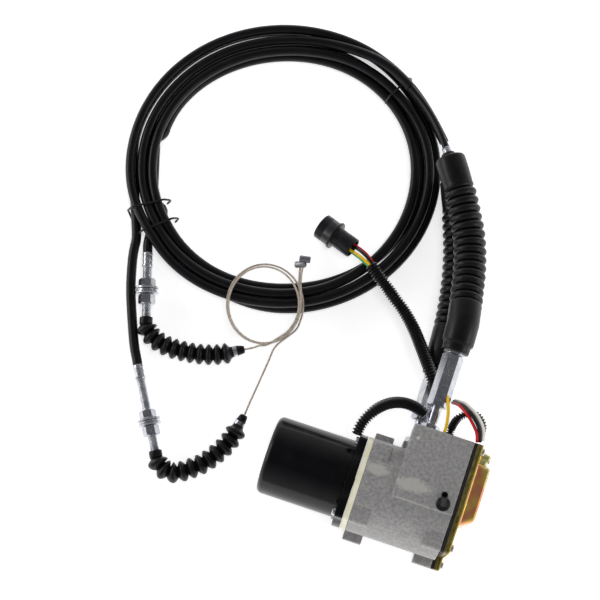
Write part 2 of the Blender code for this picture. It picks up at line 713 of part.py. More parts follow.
def cover_end_outline():
    # Outline of the cover end: barrel, corner lugs, cable block and feet
    reach = LUG_REACH
    inner = reach - LUG_CORNER
    low = BASE + PLATE_INSET
    crossing = math.degrees(math.asin(reach / BARREL_RADIUS))
    block_edge = math.degrees(math.acos(BLOCK_FRONT / BARREL_RADIUS))
    block_low = BLOCK_REAR - OUTLET_STAGGER
    return (
        [(-FOOT_REACH_FRONT, low), (FOOT_REACH_FRONT, low), (FOOT_REACH_FRONT, BLOCK_BOTTOM),
         (block_low, BLOCK_BOTTOM), (block_low, BLOCK_STEP), (BLOCK_REAR, BLOCK_STEP)]
        + arc((BLOCK_REAR - LUG_CORNER, BLOCK_TOP - LUG_CORNER), LUG_CORNER, 0, 90, 2)
        + [(BLOCK_FRONT, BLOCK_TOP)]
        + arc((0.0, 0.0), BARREL_RADIUS, block_edge, 180.0 - crossing, 4)
        + arc((-inner, inner), LUG_CORNER, 90, 180, 2)
        + [(-reach, BASE + FOOT_HEIGHT), (-FOOT_REACH_FRONT, BASE + FOOT_HEIGHT)]
    )


def cover_screw_places():
    edge = COVER_SCREW_INSET
    return [
        (-LUG_REACH + edge, LUG_REACH - edge), (BLOCK_REAR - edge, BLOCK_TOP - edge),
        (BLOCK_REAR - edge, BLOCK_STEP + edge), (FOOT_REACH_FRONT - edge, BASE + FOOT_HEIGHT / 2),
        (-FOOT_REACH_FRONT + edge, BASE + FOOT_HEIGHT / 2),
    ]


def motor_screw_places():
    return [(y, z) for y in (-MOTOR_SCREW_Y, MOTOR_SCREW_Y) for z in (-MOTOR_SCREW_Z, MOTOR_SCREW_Z)]


def screw_holes(places):
    return [circle(bore_radius(SCREW_RADIUS, SCREW_SEGMENTS), SCREW_SEGMENTS, place) for place in places]


def box(shape, low, high):
    corners = [(low[1], low[2]), (high[1], low[2]), (high[1], high[2]), (low[1], high[2])]
    prism(shape, [corners], low[0], high[0])


def build_housing(finishes, axis):
    # One casting: barrel, corner lugs, feet and the cable block, bored and drilled
    barrel = bmesh.new()
    turned(barrel, [(HOUSING_X0, 0.0), (HOUSING_X0, BARREL_RADIUS), (HOUSING_X1, BARREL_RADIUS),
                    (HOUSING_X1, 0.0)], BODY_SEGMENTS, closed=False)
    housing = add_object("gear_housing", barrel, finishes["cast_aluminium"], parent=axis)
    foot_top = BASE + FOOT_HEIGHT
    ends = ((HOUSING_X0, HOUSING_X0 + LUG_LENGTH), (HOUSING_X1 - LUG_LENGTH, HOUSING_X1))
    inner = LUG_REACH - LUG_CORNER
    lug = ([(-FOOT_REACH_FRONT, BASE), (FOOT_REACH_REAR, BASE), (FOOT_REACH_REAR, foot_top),
            (LUG_REACH, foot_top)]
           + arc((inner, inner), LUG_CORNER, 0, 90, 3) + arc((-inner, inner), LUG_CORNER, 90, 180, 3)
           + [(-LUG_REACH, foot_top), (-FOOT_REACH_FRONT, foot_top)])
    right_lug = [(min(y, FOOT_REACH_FRONT), z) for y, z in lug]
    for name, outline, (start, end) in (("motor", lug, ends[0]), ("cover", right_lug, ends[1])):
        guide = bmesh.new()
        prism(guide, [outline], start, end)
        combine(housing, add_object("guide_lugs_" + name, guide, finishes["zinc"], parent=axis), "UNION")
    block = bmesh.new()
    block_x0 = HOUSING_X0 + BLOCK_START
    corner = arc((BLOCK_REAR - LUG_CORNER, BLOCK_TOP - LUG_CORNER), LUG_CORNER, 0, 90, 2)
    profile = [(BLOCK_FRONT, BLOCK_STEP), (BLOCK_REAR, BLOCK_STEP)] + corner + [(BLOCK_FRONT, BLOCK_TOP)]
    prism(block, [profile], block_x0, HOUSING_X1)
    combine(housing, add_object("guide_block", block, finishes["zinc"], parent=axis), "UNION")
    lower = bmesh.new()
    box(lower, (HOUSING_X0 + LOWER_BLOCK_START, 0.0, BLOCK_BOTTOM),
        (HOUSING_X1, BLOCK_REAR - OUTLET_STAGGER, BLOCK_STEP + OVERLAP))
    combine(housing, add_object("guide_lower_block", lower, finishes["zinc"], parent=axis), "UNION")
    bores = bmesh.new()
    over = CUT_THROUGH
    front, rear = HOUSING_X0 - over, HOUSING_X1 + over
    turned(bores, [(front, 0.0), (front, GEAR_BORE_RADIUS), (WEB_X0, GEAR_BORE_RADIUS),
                   (WEB_X0, OUTPUT_BUSH_RADIUS + GAP), (WEB_X1, OUTPUT_BUSH_RADIUS + GAP),
                   (WEB_X1, REAR_BORE_RADIUS), (rear, REAR_BORE_RADIUS), (rear, 0.0)],
           BODY_SEGMENTS, closed=False)
    combine(housing, add_object("guide_bores", bores, finishes["zinc"], parent=axis), "DIFFERENCE")
    holes = bmesh.new()
    for x, z, wall in ((UPPER_OUTLET_X, OUTLET_RISE, BLOCK_REAR),
                       (LOWER_OUTLET_X, -OUTLET_RISE, BLOCK_REAR - OUTLET_STAGGER)):
        floor = wall - STUB_DEPTH - GAP
        inside = DRUM_RADIUS + over
        profile = [(inside, 0.0), (inside, WIRE_HOLE_RADIUS + GAP), (floor, WIRE_HOLE_RADIUS + GAP),
                   (floor, STUB_RADIUS + GAP), (wall + over, STUB_RADIUS + GAP), (wall + over, 0.0)]
        turned(holes, profile, SHAFT_SEGMENTS, outlet_place(HOUSING_X0 + x, 0.0, z), closed=False)
    combine(housing, add_object("guide_outlet_holes", holes, finishes["zinc"], parent=axis), "DIFFERENCE")
    holes = bmesh.new()
    for loop in screw_holes(motor_screw_places()):
        prism(holes, [loop], HOUSING_X0 - over, HOUSING_X0 + SCREW_BITE)
    for loop in screw_holes(cover_screw_places()):
        prism(holes, [loop], HOUSING_X1 - SCREW_BITE, HOUSING_X1 + over)
    for x in (HOUSING_X0 + LUG_LENGTH / 2, HOUSING_X1 - LUG_LENGTH / 2):
        for y in (FOOT_HOLE_INSET - FOOT_REACH_FRONT, FOOT_REACH_FRONT - FOOT_HOLE_INSET):
            place = Matrix.Translation((x, y, BASE - over)) @ Matrix.Rotation(-math.pi / 2, 4, "Y")
            prism(holes, [circle(FOOT_HOLE_RADIUS, PIN_SEGMENTS)], 0.0, FOOT_HOLE_DEPTH + over, place)
    combine(housing, add_object("guide_screw_holes", holes, finishes["zinc"], parent=axis), "DIFFERENCE")


def build_motor(finishes, axis):
    # Spacer ring and motor end plate share the housing's outline
    spacer = bmesh.new()
    holes = screw_holes(motor_screw_places())
    prism(spacer, [end_outline(), circle(SPACER_BORE_RADIUS, BODY_SEGMENTS)] + holes,
          HOUSING_X0 - SPACER_THICKNESS, HOUSING_X0 - GAP)
    add_object("spacer_ring", spacer, finishes["cream"], parent=axis)
    plate = bmesh.new()
    prism(plate, [end_outline(), circle(BEARING_RADIUS + GAP, SHAFT_SEGMENTS)], END_PLATE_X0, END_PLATE_X1)
    end_plate = add_object("motor_end_plate", plate, finishes["black_enamel"], parent=axis)
    screws = bmesh.new()
    for y, z in motor_screw_places():
        screw(screws, HOUSING_X0 + SCREW_BITE - END_PLATE_X0 - GAP, Matrix.Translation((END_PLATE_X0, y, z)))
    combine(end_plate, add_object("guide_motor_screws", screws, finishes["zinc"], parent=axis), "UNION")
    # Deep-drawn can with a cup for the rear bush inside its closed end
    can = bmesh.new()
    inside = CAN_RADIUS - CAN_WALL
    floor = CAN_X0 + CAN_WALL
    cup = REAR_BUSH_RADIUS + GAP
    bend = CAN_RADIUS - CAN_CORNER
    bend_x = CAN_X0 + CAN_CORNER
    rounded = [(bend_x - CAN_CORNER * math.cos(a), bend + CAN_CORNER * math.sin(a))
               for a in (0.0, math.pi / 6, math.pi / 3, math.pi / 2)]
    turned(can, [(CAN_X0, 0.0)] + rounded + [
        (CAN_X1, CAN_RADIUS), (CAN_X1, inside), (bend_x, inside), (floor, bend - CAN_WALL / 2),
        (floor, cup + CAN_WALL), (floor + REAR_BUSH_LENGTH, cup + CAN_WALL), (floor + REAR_BUSH_LENGTH, cup),
        (floor, cup), (floor, 0.0)], BODY_SEGMENTS, closed=False)
    add_object("motor_can", can, finishes["black_enamel"], parent=axis)
    bush = bmesh.new()
    hole = bore_radius(SHAFT_RADIUS, SHAFT_SEGMENTS, RUNNING_GAP)
    bush_x1 = floor + GAP + REAR_BUSH_LENGTH
    turned(bush, [(floor + GAP, hole), (floor + GAP, REAR_BUSH_RADIUS), (bush_x1, REAR_BUSH_RADIUS),
                  (bush_x1, hole)], SHAFT_SEGMENTS)
    add_object("rear_bush", bush, finishes["bronze"], parent=axis)
    bearing = bmesh.new()
    bearing_x1 = END_PLATE_X0 + BEARING_WIDTH
    turned(bearing, [(END_PLATE_X0, hole), (END_PLATE_X0, BEARING_RADIUS), (bearing_x1, BEARING_RADIUS),
                     (bearing_x1, hole)], SHAFT_SEGMENTS)
    add_object("front_bearing", bearing, finishes["steel"], parent=axis)
    magnet = bmesh.new()
    outer = inside - GAP
    core_x0 = floor + CORE_FROM_END
    magnet_x0 = core_x0 - (MAGNET_LENGTH - CORE_LENGTH) / 2
    magnet_x1 = magnet_x0 + MAGNET_LENGTH
    turned(magnet, [(magnet_x0, outer - MAGNET_THICKNESS), (magnet_x0, outer), (magnet_x1, outer),
                    (magnet_x1, outer - MAGNET_THICKNESS)], BODY_SEGMENTS)
    add_object("ring_magnet", magnet, finishes["ferrite"], parent=axis)
    # Brush plate: a disc in the can's mouth with two brush holders
    brush = bmesh.new()
    disc_x1 = CAN_X1 - BRUSH_PLATE_INSET
    disc_x0 = disc_x1 - BRUSH_PLATE_THICKNESS
    prism(brush, [circle(outer, BODY_SEGMENTS), circle(COMMUTATOR_RADIUS, SHAFT_SEGMENTS)], disc_x0, disc_x1)
    holders = add_object("brush_plate", brush, finishes["black_plastic"], parent=axis)
    boxes = bmesh.new()
    reach = COMMUTATOR_RADIUS + AIR_GAP
    for low, high in ((-reach - BRUSH_LENGTH, -reach), (reach, reach + BRUSH_LENGTH)):
        box(boxes, (disc_x0 - COMMUTATOR_LENGTH + OVERLAP, low, -BRUSH_WIDTH / 2),
            (disc_x0 + BRUSH_PLATE_THICKNESS / 2, high, BRUSH_WIDTH / 2))
    combine(holders, add_object("guide_brushes", boxes, finishes["zinc"], parent=axis), "UNION")
    # Rotor: shaft with its commutator and the sun pinion cut on its end, and the wound core
    shaft = bmesh.new()
    sun_x0 = HOUSING_X0 + FIRST_FACE_START - FACE_CLEARANCE
    sun_x1 = HOUSING_X0 + FIRST_FACE_START + FACE_WIDTH
    shaft_x0 = floor + 2 * GAP
    com_x1 = disc_x0 - FACE_CLEARANCE
    com_x0 = com_x1 - COMMUTATOR_LENGTH
    shaft_x1 = sun_x0 + OVERLAP
    turned(shaft, [(shaft_x0, 0.0), (shaft_x0, SHAFT_RADIUS), (com_x0, SHAFT_RADIUS),
                   (com_x0, COMMUTATOR_RADIUS), (com_x1, COMMUTATOR_RADIUS), (com_x1, SHAFT_RADIUS),
                   (shaft_x1, SHAFT_RADIUS), (shaft_x1, 0.0)], SHAFT_SEGMENTS, closed=False)
    rotor = add_object("rotor_shaft", shaft, finishes["steel"], parent=axis)
    sun = bmesh.new()
    prism(sun, [gear_outline(SUN_TEETH, 0.0)], sun_x0, sun_x1)
    combine(rotor, add_object("guide_sun", sun, finishes["zinc"], parent=axis), "UNION")
    seat = SHAFT_RADIUS + GAP
    core_radius = (outer - MAGNET_THICKNESS) * math.cos(math.pi / BODY_SEGMENTS) - AIR_GAP
    core = bmesh.new()
    shoe = core_radius - POLE_SHOE
    outline = []
    for pole in range(CORE_POLES):
        middle = math.tau * pole / CORE_POLES
        half_pole = math.pi / CORE_POLES * POLE_SHARE
        half_neck = math.pi / CORE_POLES * NECK_SHARE
        waist = half_neck * NECK_TAPER
        for radius, offset in ((CORE_HUB_RADIUS, -half_neck), (shoe, -waist), (core_radius, -half_pole),
                               (core_radius, half_pole), (shoe, waist), (CORE_HUB_RADIUS, half_neck)):
            outline.append((radius * math.cos(middle + offset), radius * math.sin(middle + offset)))
    prism(core, [outline, circle(seat, SHAFT_SEGMENTS, start=math.pi / 2)], core_x0, core_x0 + CORE_LENGTH)
    wound_core = add_object("armature_core", core, finishes["gear_steel"], parent=axis)
    for side, start in (("rear", core_x0 - WINDING_LENGTH), ("front", core_x0 + CORE_LENGTH - WINDING_SEAT)):
        winding = bmesh.new()
        end = start + WINDING_LENGTH + WINDING_SEAT
        turned(winding, [(start, WINDING_INNER), (start, WINDING_OUTER), (end, WINDING_OUTER),
                         (end, WINDING_INNER)], SHAFT_SEGMENTS)
        guide = add_object("guide_winding_" + side, winding, finishes["zinc"], parent=axis)
        combine(wound_core, guide, "UNION")


def build_gears(finishes, axis):
    # Ring gear, two stages of planets on their carriers, and the output shaft
    ring = bmesh.new()
    ring_x0 = HOUSING_X0 + RING_START
    prism(ring, [circle(GEAR_BORE_RADIUS - GAP, BODY_SEGMENTS, start=math.pi / 2),
                 gear_outline(RING_TEETH, 0.0, internal=True)], ring_x0, ring_x0 + RING_LENGTH)
    add_object("ring_gear", ring, finishes["gear_steel"], parent=axis)
    first_x0 = HOUSING_X0 + FIRST_FACE_START
    first_plate = first_x0 + FACE_WIDTH + FACE_CLEARANCE
    second_x0 = first_plate + CARRIER_THICKNESS + FACE_CLEARANCE
    second_plate = second_x0 + FACE_WIDTH + FACE_CLEARANCE
    places = [(PLANET_ORBIT * math.cos(a), PLANET_ORBIT * math.sin(a))
              for a in (math.pi / 2 + math.tau * k / PLANET_COUNT for k in range(PLANET_COUNT))]
    carriers = []
    for name, face_x0, plate_x0 in (("first_carrier", first_x0, first_plate),
                                    ("output_carrier", second_x0, second_plate)):
        plate = bmesh.new()
        prism(plate, [circle(CARRIER_RADIUS, DRUM_SEGMENTS)], plate_x0, plate_x0 + CARRIER_THICKNESS)
        carrier = add_object(name, plate, finishes["steel"], parent=axis)
        pins = bmesh.new()
        for place in places:
            prism(pins, [circle(PIN_RADIUS, PIN_SEGMENTS, place)], face_x0, plate_x0 + OVERLAP)
        combine(carrier, add_object("guide_pins_" + name, pins, finishes["zinc"], parent=axis), "UNION")
        carriers.append(carrier)
    sun = bmesh.new()
    prism(sun, [gear_outline(SUN_TEETH, 0.0)], first_plate + OVERLAP, second_x0 + FACE_WIDTH)
    combine(carriers[0], add_object("guide_second_sun", sun, finishes["zinc"], parent=axis), "UNION")
    shaft = bmesh.new()
    sensor_x1 = HOUSING_X0 + SENSOR_FACE_START + SENSOR_FACE_WIDTH
    step_x = WEB_X1 + SHAFT_STEP
    turned(shaft, [(second_plate + OVERLAP, 0.0), (second_plate + OVERLAP, OUTPUT_SHAFT_RADIUS),
                   (step_x, OUTPUT_SHAFT_RADIUS), (step_x, STUB_SHAFT_RADIUS),
                   (sensor_x1 + OVERLAP, STUB_SHAFT_RADIUS), (sensor_x1 + OVERLAP, 0.0)], SHAFT_SEGMENTS,
           closed=False)
    combine(carriers[1], add_object("guide_output_shaft", shaft, finishes["zinc"], parent=axis), "UNION")
    sensor_drive = bmesh.new()
    prism(sensor_drive, [sensor_gear_outline(0.0)], sensor_x1 - SENSOR_FACE_WIDTH, sensor_x1)
    guide = add_object("guide_sensor_drive", sensor_drive, finishes["zinc"], parent=axis)
    combine(carriers[1], guide, "UNION")
    planet_bore = bore_radius(PIN_RADIUS, PIN_SEGMENTS, RUNNING_GAP)
    for stage, face_x0, carrier in (("first", first_x0, carriers[0]), ("second", second_x0, carriers[1])):
        for letter, (y, z) in zip("abc", places):
            planet = bmesh.new()
            outline = gear_outline(PLANET_TEETH, math.pi / PLANET_TEETH)
            prism(planet, [outline, circle(planet_bore, PIN_SEGMENTS)], face_x0, face_x0 + FACE_WIDTH)
            add_object(f"{stage}_planet_{letter}", planet, finishes["gear_steel"], at=(0.0, y, z),
                       parent=carrier)
    bush = bmesh.new()
    hole = bore_radius(OUTPUT_SHAFT_RADIUS, SHAFT_SEGMENTS, RUNNING_GAP)
    turned(bush, [(WEB_X0, hole), (WEB_X0, OUTPUT_BUSH_RADIUS), (WEB_X1, OUTPUT_BUSH_RADIUS), (WEB_X1, hole)],
           SHAFT_SEGMENTS)
    add_object("output_bush", bush, finishes["bronze"], parent=axis)
    # Cable drum with a groove for each wire
    drum = bmesh.new()
    floor = OUTLET_RISE - WIRE_RADIUS - GAP
    x0 = HOUSING_X0 + DRUM_START
    x1 = HOUSING_X0 + DRUM_END
    seat = OUTPUT_SHAFT_RADIUS + GAP
    profile = [(x0, seat), (x0, DRUM_RADIUS)]
    for middle in (HOUSING_X0 + LOWER_OUTLET_X, HOUSING_X0 + UPPER_OUTLET_X):
        low, high = middle - GROOVE_HALF_WIDTH, middle + GROOVE_HALF_WIDTH
        profile += [(low, DRUM_RADIUS), (low, floor), (high, floor), (high, DRUM_RADIUS)]
    profile += [(x1, DRUM_RADIUS), (x1, seat)]
    turned(drum, profile, DRUM_SEGMENTS)
    add_object("cable_drum", drum, finishes["steel"], parent=axis)


def build_sensor(finishes, axis):
    # A gear on the output shaft turns the sensor's spindle through an equal gear
    face_x0 = HOUSING_X0 + SENSOR_FACE_START
    face_x1 = face_x0 + SENSOR_FACE_WIDTH
    spindle = bmesh.new()
    turned(spindle, [(face_x1 - OVERLAP, 0.0), (face_x1 - OVERLAP, SPINDLE_RADIUS),
                     (PLATE_X1 + SPINDLE_REACH, SPINDLE_RADIUS), (PLATE_X1 + SPINDLE_REACH, 0.0)],
           SHAFT_SEGMENTS, closed=False)
    turning = add_object("sensor_spindle", spindle, finishes["steel"], at=(0.0, SENSOR_Y, 0.0), parent=axis)
    gear = bmesh.new()
    prism(gear, [sensor_gear_outline(math.pi + math.pi / SENSOR_TEETH)], face_x0, face_x1)
    guide = add_object("guide_sensor_gear", gear, finishes["zinc"], at=(0.0, SENSOR_Y, 0.0), parent=axis)
    combine(turning, guide, "UNION")
    body = bmesh.new()
    hole = bore_radius(SPINDLE_RADIUS, SHAFT_SEGMENTS)
    start = PLATE_X1 + GAP
    blind = PLATE_X1 + SPINDLE_REACH + OVERLAP
    end = start + SENSOR_HEIGHT
    rim = SENSOR_RADIUS - SENSOR_CHAMFER
    turned(body, [(end, 0.0), (end, rim), (end - SENSOR_CHAMFER, SENSOR_RADIUS), (start, SENSOR_RADIUS),
                  (start, hole), (blind, hole), (blind, 0.0)], SENSOR_SEGMENTS,
           Matrix.Translation((0.0, SENSOR_Y, 0.0)), closed=False)
    add_object("position_sensor", body, finishes["black_plastic"], parent=axis)


def sensor_gear_outline(turn):
    # Teeth of the two sensor gears, whose pitch circles meet halfway to the spindle
    scale = SENSOR_Y / (MODULE * SENSOR_TEETH)
    return [(y * scale, z * scale) for y, z in gear_outline(SENSOR_TEETH, turn)]


def build_cover(finishes, axis):
    # Gasket, end plate and the pressed cover follow the housing's end
    holes = screw_holes(cover_screw_places())
    gasket = bmesh.new()
    prism(gasket, [cover_end_outline(), circle(REAR_BORE_RADIUS, BODY_SEGMENTS)] + holes, HOUSING_X1 + GAP,
          GASKET_X1)
    add_object("end_gasket", gasket, finishes["gasket"], parent=axis)
    plate = bmesh.new()
    spindle_hole = circle(bore_radius(SPINDLE_RADIUS, SHAFT_SEGMENTS), SHAFT_SEGMENTS, (SENSOR_Y, 0.0))
    prism(plate, [cover_end_outline(), spindle_hole] + holes, PLATE_X0, PLATE_X1)
    add_object("end_plate", plate, finishes["zinc"], parent=axis)
    flange = bmesh.new()
    prism(flange, [cover_end_outline()], FLANGE_X0, FLANGE_X1)
    cover = add_object("sensor_cover", flange, finishes["zinc_yellow"], parent=axis)
    main = (COVER_FRONT, COVER_REAR, COVER_BOTTOM, COVER_TOP, COVER_FRONT_SLOPE)
    bump = (COVER_REAR + BUMP_GAP, BUMP_REAR, BUMP_BOTTOM, COVER_TOP - BUMP_TOP_INSET, COVER_SIDE_SLOPE)
    for name, size in (("main", main), ("bump", bump)):
        combine(cover, pressing("guide_" + name, size, 0.0, finishes, axis), "UNION")
    for name, size in (("main", main), ("bump", bump)):
        combine(cover, pressing("guide_hollow_" + name, size, SHEET, finishes, axis), "DIFFERENCE")
    screws = bmesh.new()
    turn = Matrix.Rotation(math.pi, 4, "Z")
    for y, z in cover_screw_places():
        screw(screws, FLANGE_X1 - HOUSING_X1 + SCREW_BITE - GAP, Matrix.Translation((FLANGE_X1, y, z)) @ turn)
    combine(cover, add_object("guide_cover_screws", screws, finishes["zinc"], parent=axis), "UNION")


def pressing(name, size, inset, finishes, axis):
    # A drawn pocket: rounded rectangles that step in towards the face; inset makes its hollow
    front, rear, bottom, top, slope = size
    face = FLANGE_X0 + COVER_DEPTH - inset
    start = FLANGE_X0 + PRESSING_SEAT if inset == 0.0 else FLANGE_X0 - PRESSING_MOUTH
    shape = bmesh.new()
    rings = []
    edge = min(COVER_EDGE, (rear - front) / 8)
    levels = [(start, 0.0, 0.0)]
    levels += [(face - edge * back, lean, edge * share) for back, lean, share in PRESSING_LEVELS]
    for x, lean, shrink in levels:
        y0 = front + inset + slope * lean + shrink
        y1 = rear - inset - COVER_SIDE_SLOPE * lean - shrink
        z0 = bottom + inset + COVER_SIDE_SLOPE * lean + shrink
        z1 = top - inset - COVER_SIDE_SLOPE * lean - shrink
        round_off = min(COVER_CORNER, (y1 - y0) / 2.5)
        corners = ((y1 - round_off, z1 - round_off, 0), (y0 + round_off, z1 - round_off, 90),
                   (y0 + round_off, z0 + round_off, 180), (y1 - round_off, z0 + round_off, 270))
        ring = []
        for cy, cz, turn in corners:
            ring += [(x, y, z) for y, z in arc((cy, cz), round_off, turn, turn + 90, 2)]
        rings.append(ring)
    skin(shape, rings)
    return add_object(name, shape, finishes["zinc"], parent=axis)


def build_vent(finishes, axis):
    # Moulded rubber nipple that leans to the rear, open at its tip
    shape = bmesh.new()
    x = HOUSING_X0 + VENT_X
    base = BLOCK_TOP + GAP
    rings = []
    for height, radius in (
            (0.0, VENT_FLANGE_RADIUS), (VENT_FLANGE_THICKNESS, VENT_FLANGE_RADIUS),
            (VENT_SHOULDER, VENT_SHOULDER_RADIUS), (VENT_STEM_START, VENT_STEM_RADIUS),
            (VENT_HEIGHT, VENT_STEM_RADIUS), (VENT_HEIGHT, VENT_BORE_RADIUS),
            (VENT_BORE_FLOOR, VENT_BORE_RADIUS)):
        lean = VENT_LEAN * max(height - VENT_FLANGE_THICKNESS, 0.0) / (VENT_HEIGHT - VENT_FLANGE_THICKNESS)
        rings.append([(x + y, VENT_Y + z + lean, base + height) for y, z in circle(radius, VENT_SIDES)])
    skin(shape, rings)
    add_object("vent_plug", shape, finishes["black_rubber"], parent=axis)


def build_outlets(finishes, axis):
    # Threaded stubs with their lock nuts, hex couplings and the straight wires that slide in them
    for name, x, z, wall, length in (
            ("upper", UPPER_OUTLET_X, OUTLET_RISE, BLOCK_REAR, WIRE_LENGTH + OUTLET_STAGGER),
            ("lower", LOWER_OUTLET_X, -OUTLET_RISE, BLOCK_REAR - OUTLET_STAGGER, WIRE_LENGTH)):
        start = wall - STUB_DEPTH
        end = start + STUB_LENGTH
        place = outlet_place(HOUSING_X0 + x, 0.0, z)
        stub = bmesh.new()
        turned(stub, [(start, WIRE_HOLE_RADIUS), (start, STUB_RADIUS), (end, STUB_RADIUS),
                      (end, WIRE_HOLE_RADIUS)], SHAFT_SEGMENTS, place)
        threaded = add_object("outlet_stub_" + name, stub, finishes["zinc"], parent=axis)
        nut = bmesh.new()
        fused_nut(nut, LOCK_NUT_WIDTH, wall + GAP, LOCK_NUT_THICKNESS, STUB_RADIUS - GAP, place)
        combine(threaded, add_object("guide_lock_nut_" + name, nut, finishes["zinc"], parent=axis), "UNION")
        coupling = bmesh.new()
        bar_start = end - COUPLING_OVERLAP
        hexagonal_bar(coupling, COUPLING_WIDTH, bar_start, bar_start + COUPLING_LENGTH, WIRE_HOLE_RADIUS,
                      place, COUPLING_CHAMFER, (STUB_RADIUS + GAP, COUPLING_OVERLAP + GAP))
        add_object("hex_coupling_" + name, coupling, finishes["zinc"], parent=axis)
        wire = bmesh.new()
        prism(wire, [circle(WIRE_RADIUS, PIN_SEGMENTS)], WIRE_START, WIRE_START + length,
              outlet_place(0.0, 0.0, 0.0))
        add_object("inner_wire_" + name, wire, finishes["rope"], at=(HOUSING_X0 + x, 0.0, z), parent=axis)


def boot_profile():
    # Collar, plain cuff, folds, plain cuff and neck, then back through the bore
    grip = bore_radius(COUPLING_WIDTH / 2 / math.cos(math.pi / 6), BOOT_SIDES)
    points = [(0.0, BOOT_COLLAR_RADIUS), (BOOT_COLLAR_LENGTH, BOOT_COLLAR_RADIUS),
              (BOOT_COLLAR_LENGTH + BOOT_BEVEL, BOOT_CUFF_RADIUS)]
    s = BOOT_COLLAR_LENGTH + BOOT_LOWER_CUFF
    points.append((s, BOOT_CUFF_RADIUS))
    for _ in range(BOOT_FOLDS):
        points += [(s + BOOT_PITCH * 0.5, BOOT_ROOT), (s + BOOT_PITCH, BOOT_CREST)]
        s += BOOT_PITCH
    points += [(s + BOOT_PITCH * share, radius)
               for share, radius in zip(BOOT_LAST_FOLD, (BOOT_ROOT, BOOT_CUFF_RADIUS))]
    s += BOOT_UPPER_CUFF
    end = s + BOOT_NECK_LENGTH
    points += [(s - BOOT_BEVEL, BOOT_CUFF_RADIUS), (s, BOOT_NECK_RADIUS), (end, BOOT_NECK_RADIUS)]
    seat = FERRULE_RADIUS + GAP
    points += [(end, seat), (s - BOOT_WALL, seat)]
    points += bore_rings(s - BOOT_BORE_FROM_TOP * BOOT_WALL, 0.0, grip, BOOT_BORE_FOLDS * BOOT_PITCH)
    return points, end


def bore_rings(start, end, radius, spacing):
    # Rings down the bore of a bent sleeve, so that the bore bends with it
    count = round((start - end) / spacing)
    return [(start + (end - start) * i / count, radius) for i in range(count + 1)]


def ferrule_profile(end):
    start = end - (FERRULE_LENGTH - FERRULE_EXPOSED)
    stop = start + FERRULE_LENGTH
    bore = CABLE_RADIUS + GAP
    return [(start, FERRULE_RADIUS), (end, FERRULE_RADIUS), (stop - FERRULE_CHAMFER, FERRULE_RADIUS),
            (stop, FERRULE_RADIUS - FERRULE_TAPER)] + bore_rings(stop, start, bore, FERRULE_RING)


def outlet_ends():
    # The couplings' far ends, where each route's boot starts
    upper = BLOCK_REAR - STUB_DEPTH + STUB_LENGTH - COUPLING_OVERLAP + COUPLING_LENGTH
    return upper, upper - OUTLET_STAGGER


def cut_route(route, y):
    # The route from the level y on, starting square to the coupling's end
    first = route[0]
    return [(first[0], y, first[2])] + [point for point in route if point[1] > y + ROUTE_START]


def build_boots(finishes):
    profile, end = boot_profile()
    upper_end, lower_end = outlet_ends()
    for name, route, bar_end, hold in (("upper", UPPER_ROUTE, upper_end, BOOT_COLLAR_LENGTH),
                                       ("lower", LOWER_ROUTE, lower_end, LOWER_BOOT_GRIP)):
        boot = bmesh.new()
        boot_route = cut_route(route, bar_end - hold)
        sleeve(boot, boot_route, profile, BOOT_SIDES)
        add_object("boot_" + name, boot, finishes["black_rubber"], sharp=60.0)
        ferrule = bmesh.new()
        sleeve(ferrule, boot_route, ferrule_profile(end), FERRULE_SIDES)
        add_object("ferrule_" + name, ferrule, finishes["zinc"])
        tube("cable_lead_" + name, cut_route(route, bar_end + GAP), CABLE_RADIUS, finishes["black_plastic"])


def coil_point(centre, radii, angle):
    # A point on one of the coil's two ovals, turned with the coil
    x = radii[0] * math.cos(angle)
    y = radii[1] * math.sin(angle)
    turn = COIL_TURN
    return (centre[0] + x * math.cos(turn) - y * math.sin(turn),
            centre[1] + x * math.sin(turn) + y * math.cos(turn))


def build_coil(finishes):
    # One closed ring around all the turns of both cables
    coil = bmesh.new()
    rings = []
    for i in range(COIL_SECTIONS):
        angle = math.tau * i / COIL_SECTIONS
        outer = Vector(coil_point(COIL_OUTER_CENTRE, COIL_OUTER, angle))
        inner = Vector(coil_point(COIL_INNER_CENTRE, COIL_INNER, angle))
        inward = (inner - outer).normalized() * COIL_CHAMFER
        section = [(outer, COIL_BOTTOM), (outer, COIL_TOP - COIL_CHAMFER), (outer + inward, COIL_TOP),
                   (inner - inward, COIL_TOP), (inner, COIL_TOP - COIL_CHAMFER), (inner, COIL_BOTTOM)]
        rings.append([(p[0], p[1], z) for p, z in section])
    skin(coil, rings, closed=True)
    add_object("cable_coil", coil, finishes["black_plastic"], sharp=60.0)
    for name, angles in (("coil_tie_left", TIE_ANGLES_LEFT), ("coil_tie_right", TIE_ANGLES_RIGHT)):
        tie = bmesh.new()
        path = []
        for k, degrees in enumerate(angles):
            path += tie_hoop(math.radians(degrees), k % 2 == 1)
        rings = []
        for i, centre in enumerate(path):
            ahead = path[min(i + 1, len(path) - 1)] - path[max(i - 1, 0)]
            side = ahead.cross(centre - Vector((*COIL_INNER_CENTRE, COIL_BOTTOM))).normalized()
            up = side.cross(ahead.normalized())
            rings.append([centre + side * a + up * b for a, b in circle(TIE_RADIUS, TIE_SIDES)])
        skin(tie, rings)
        add_object(name, tie, finishes["black_plastic"])


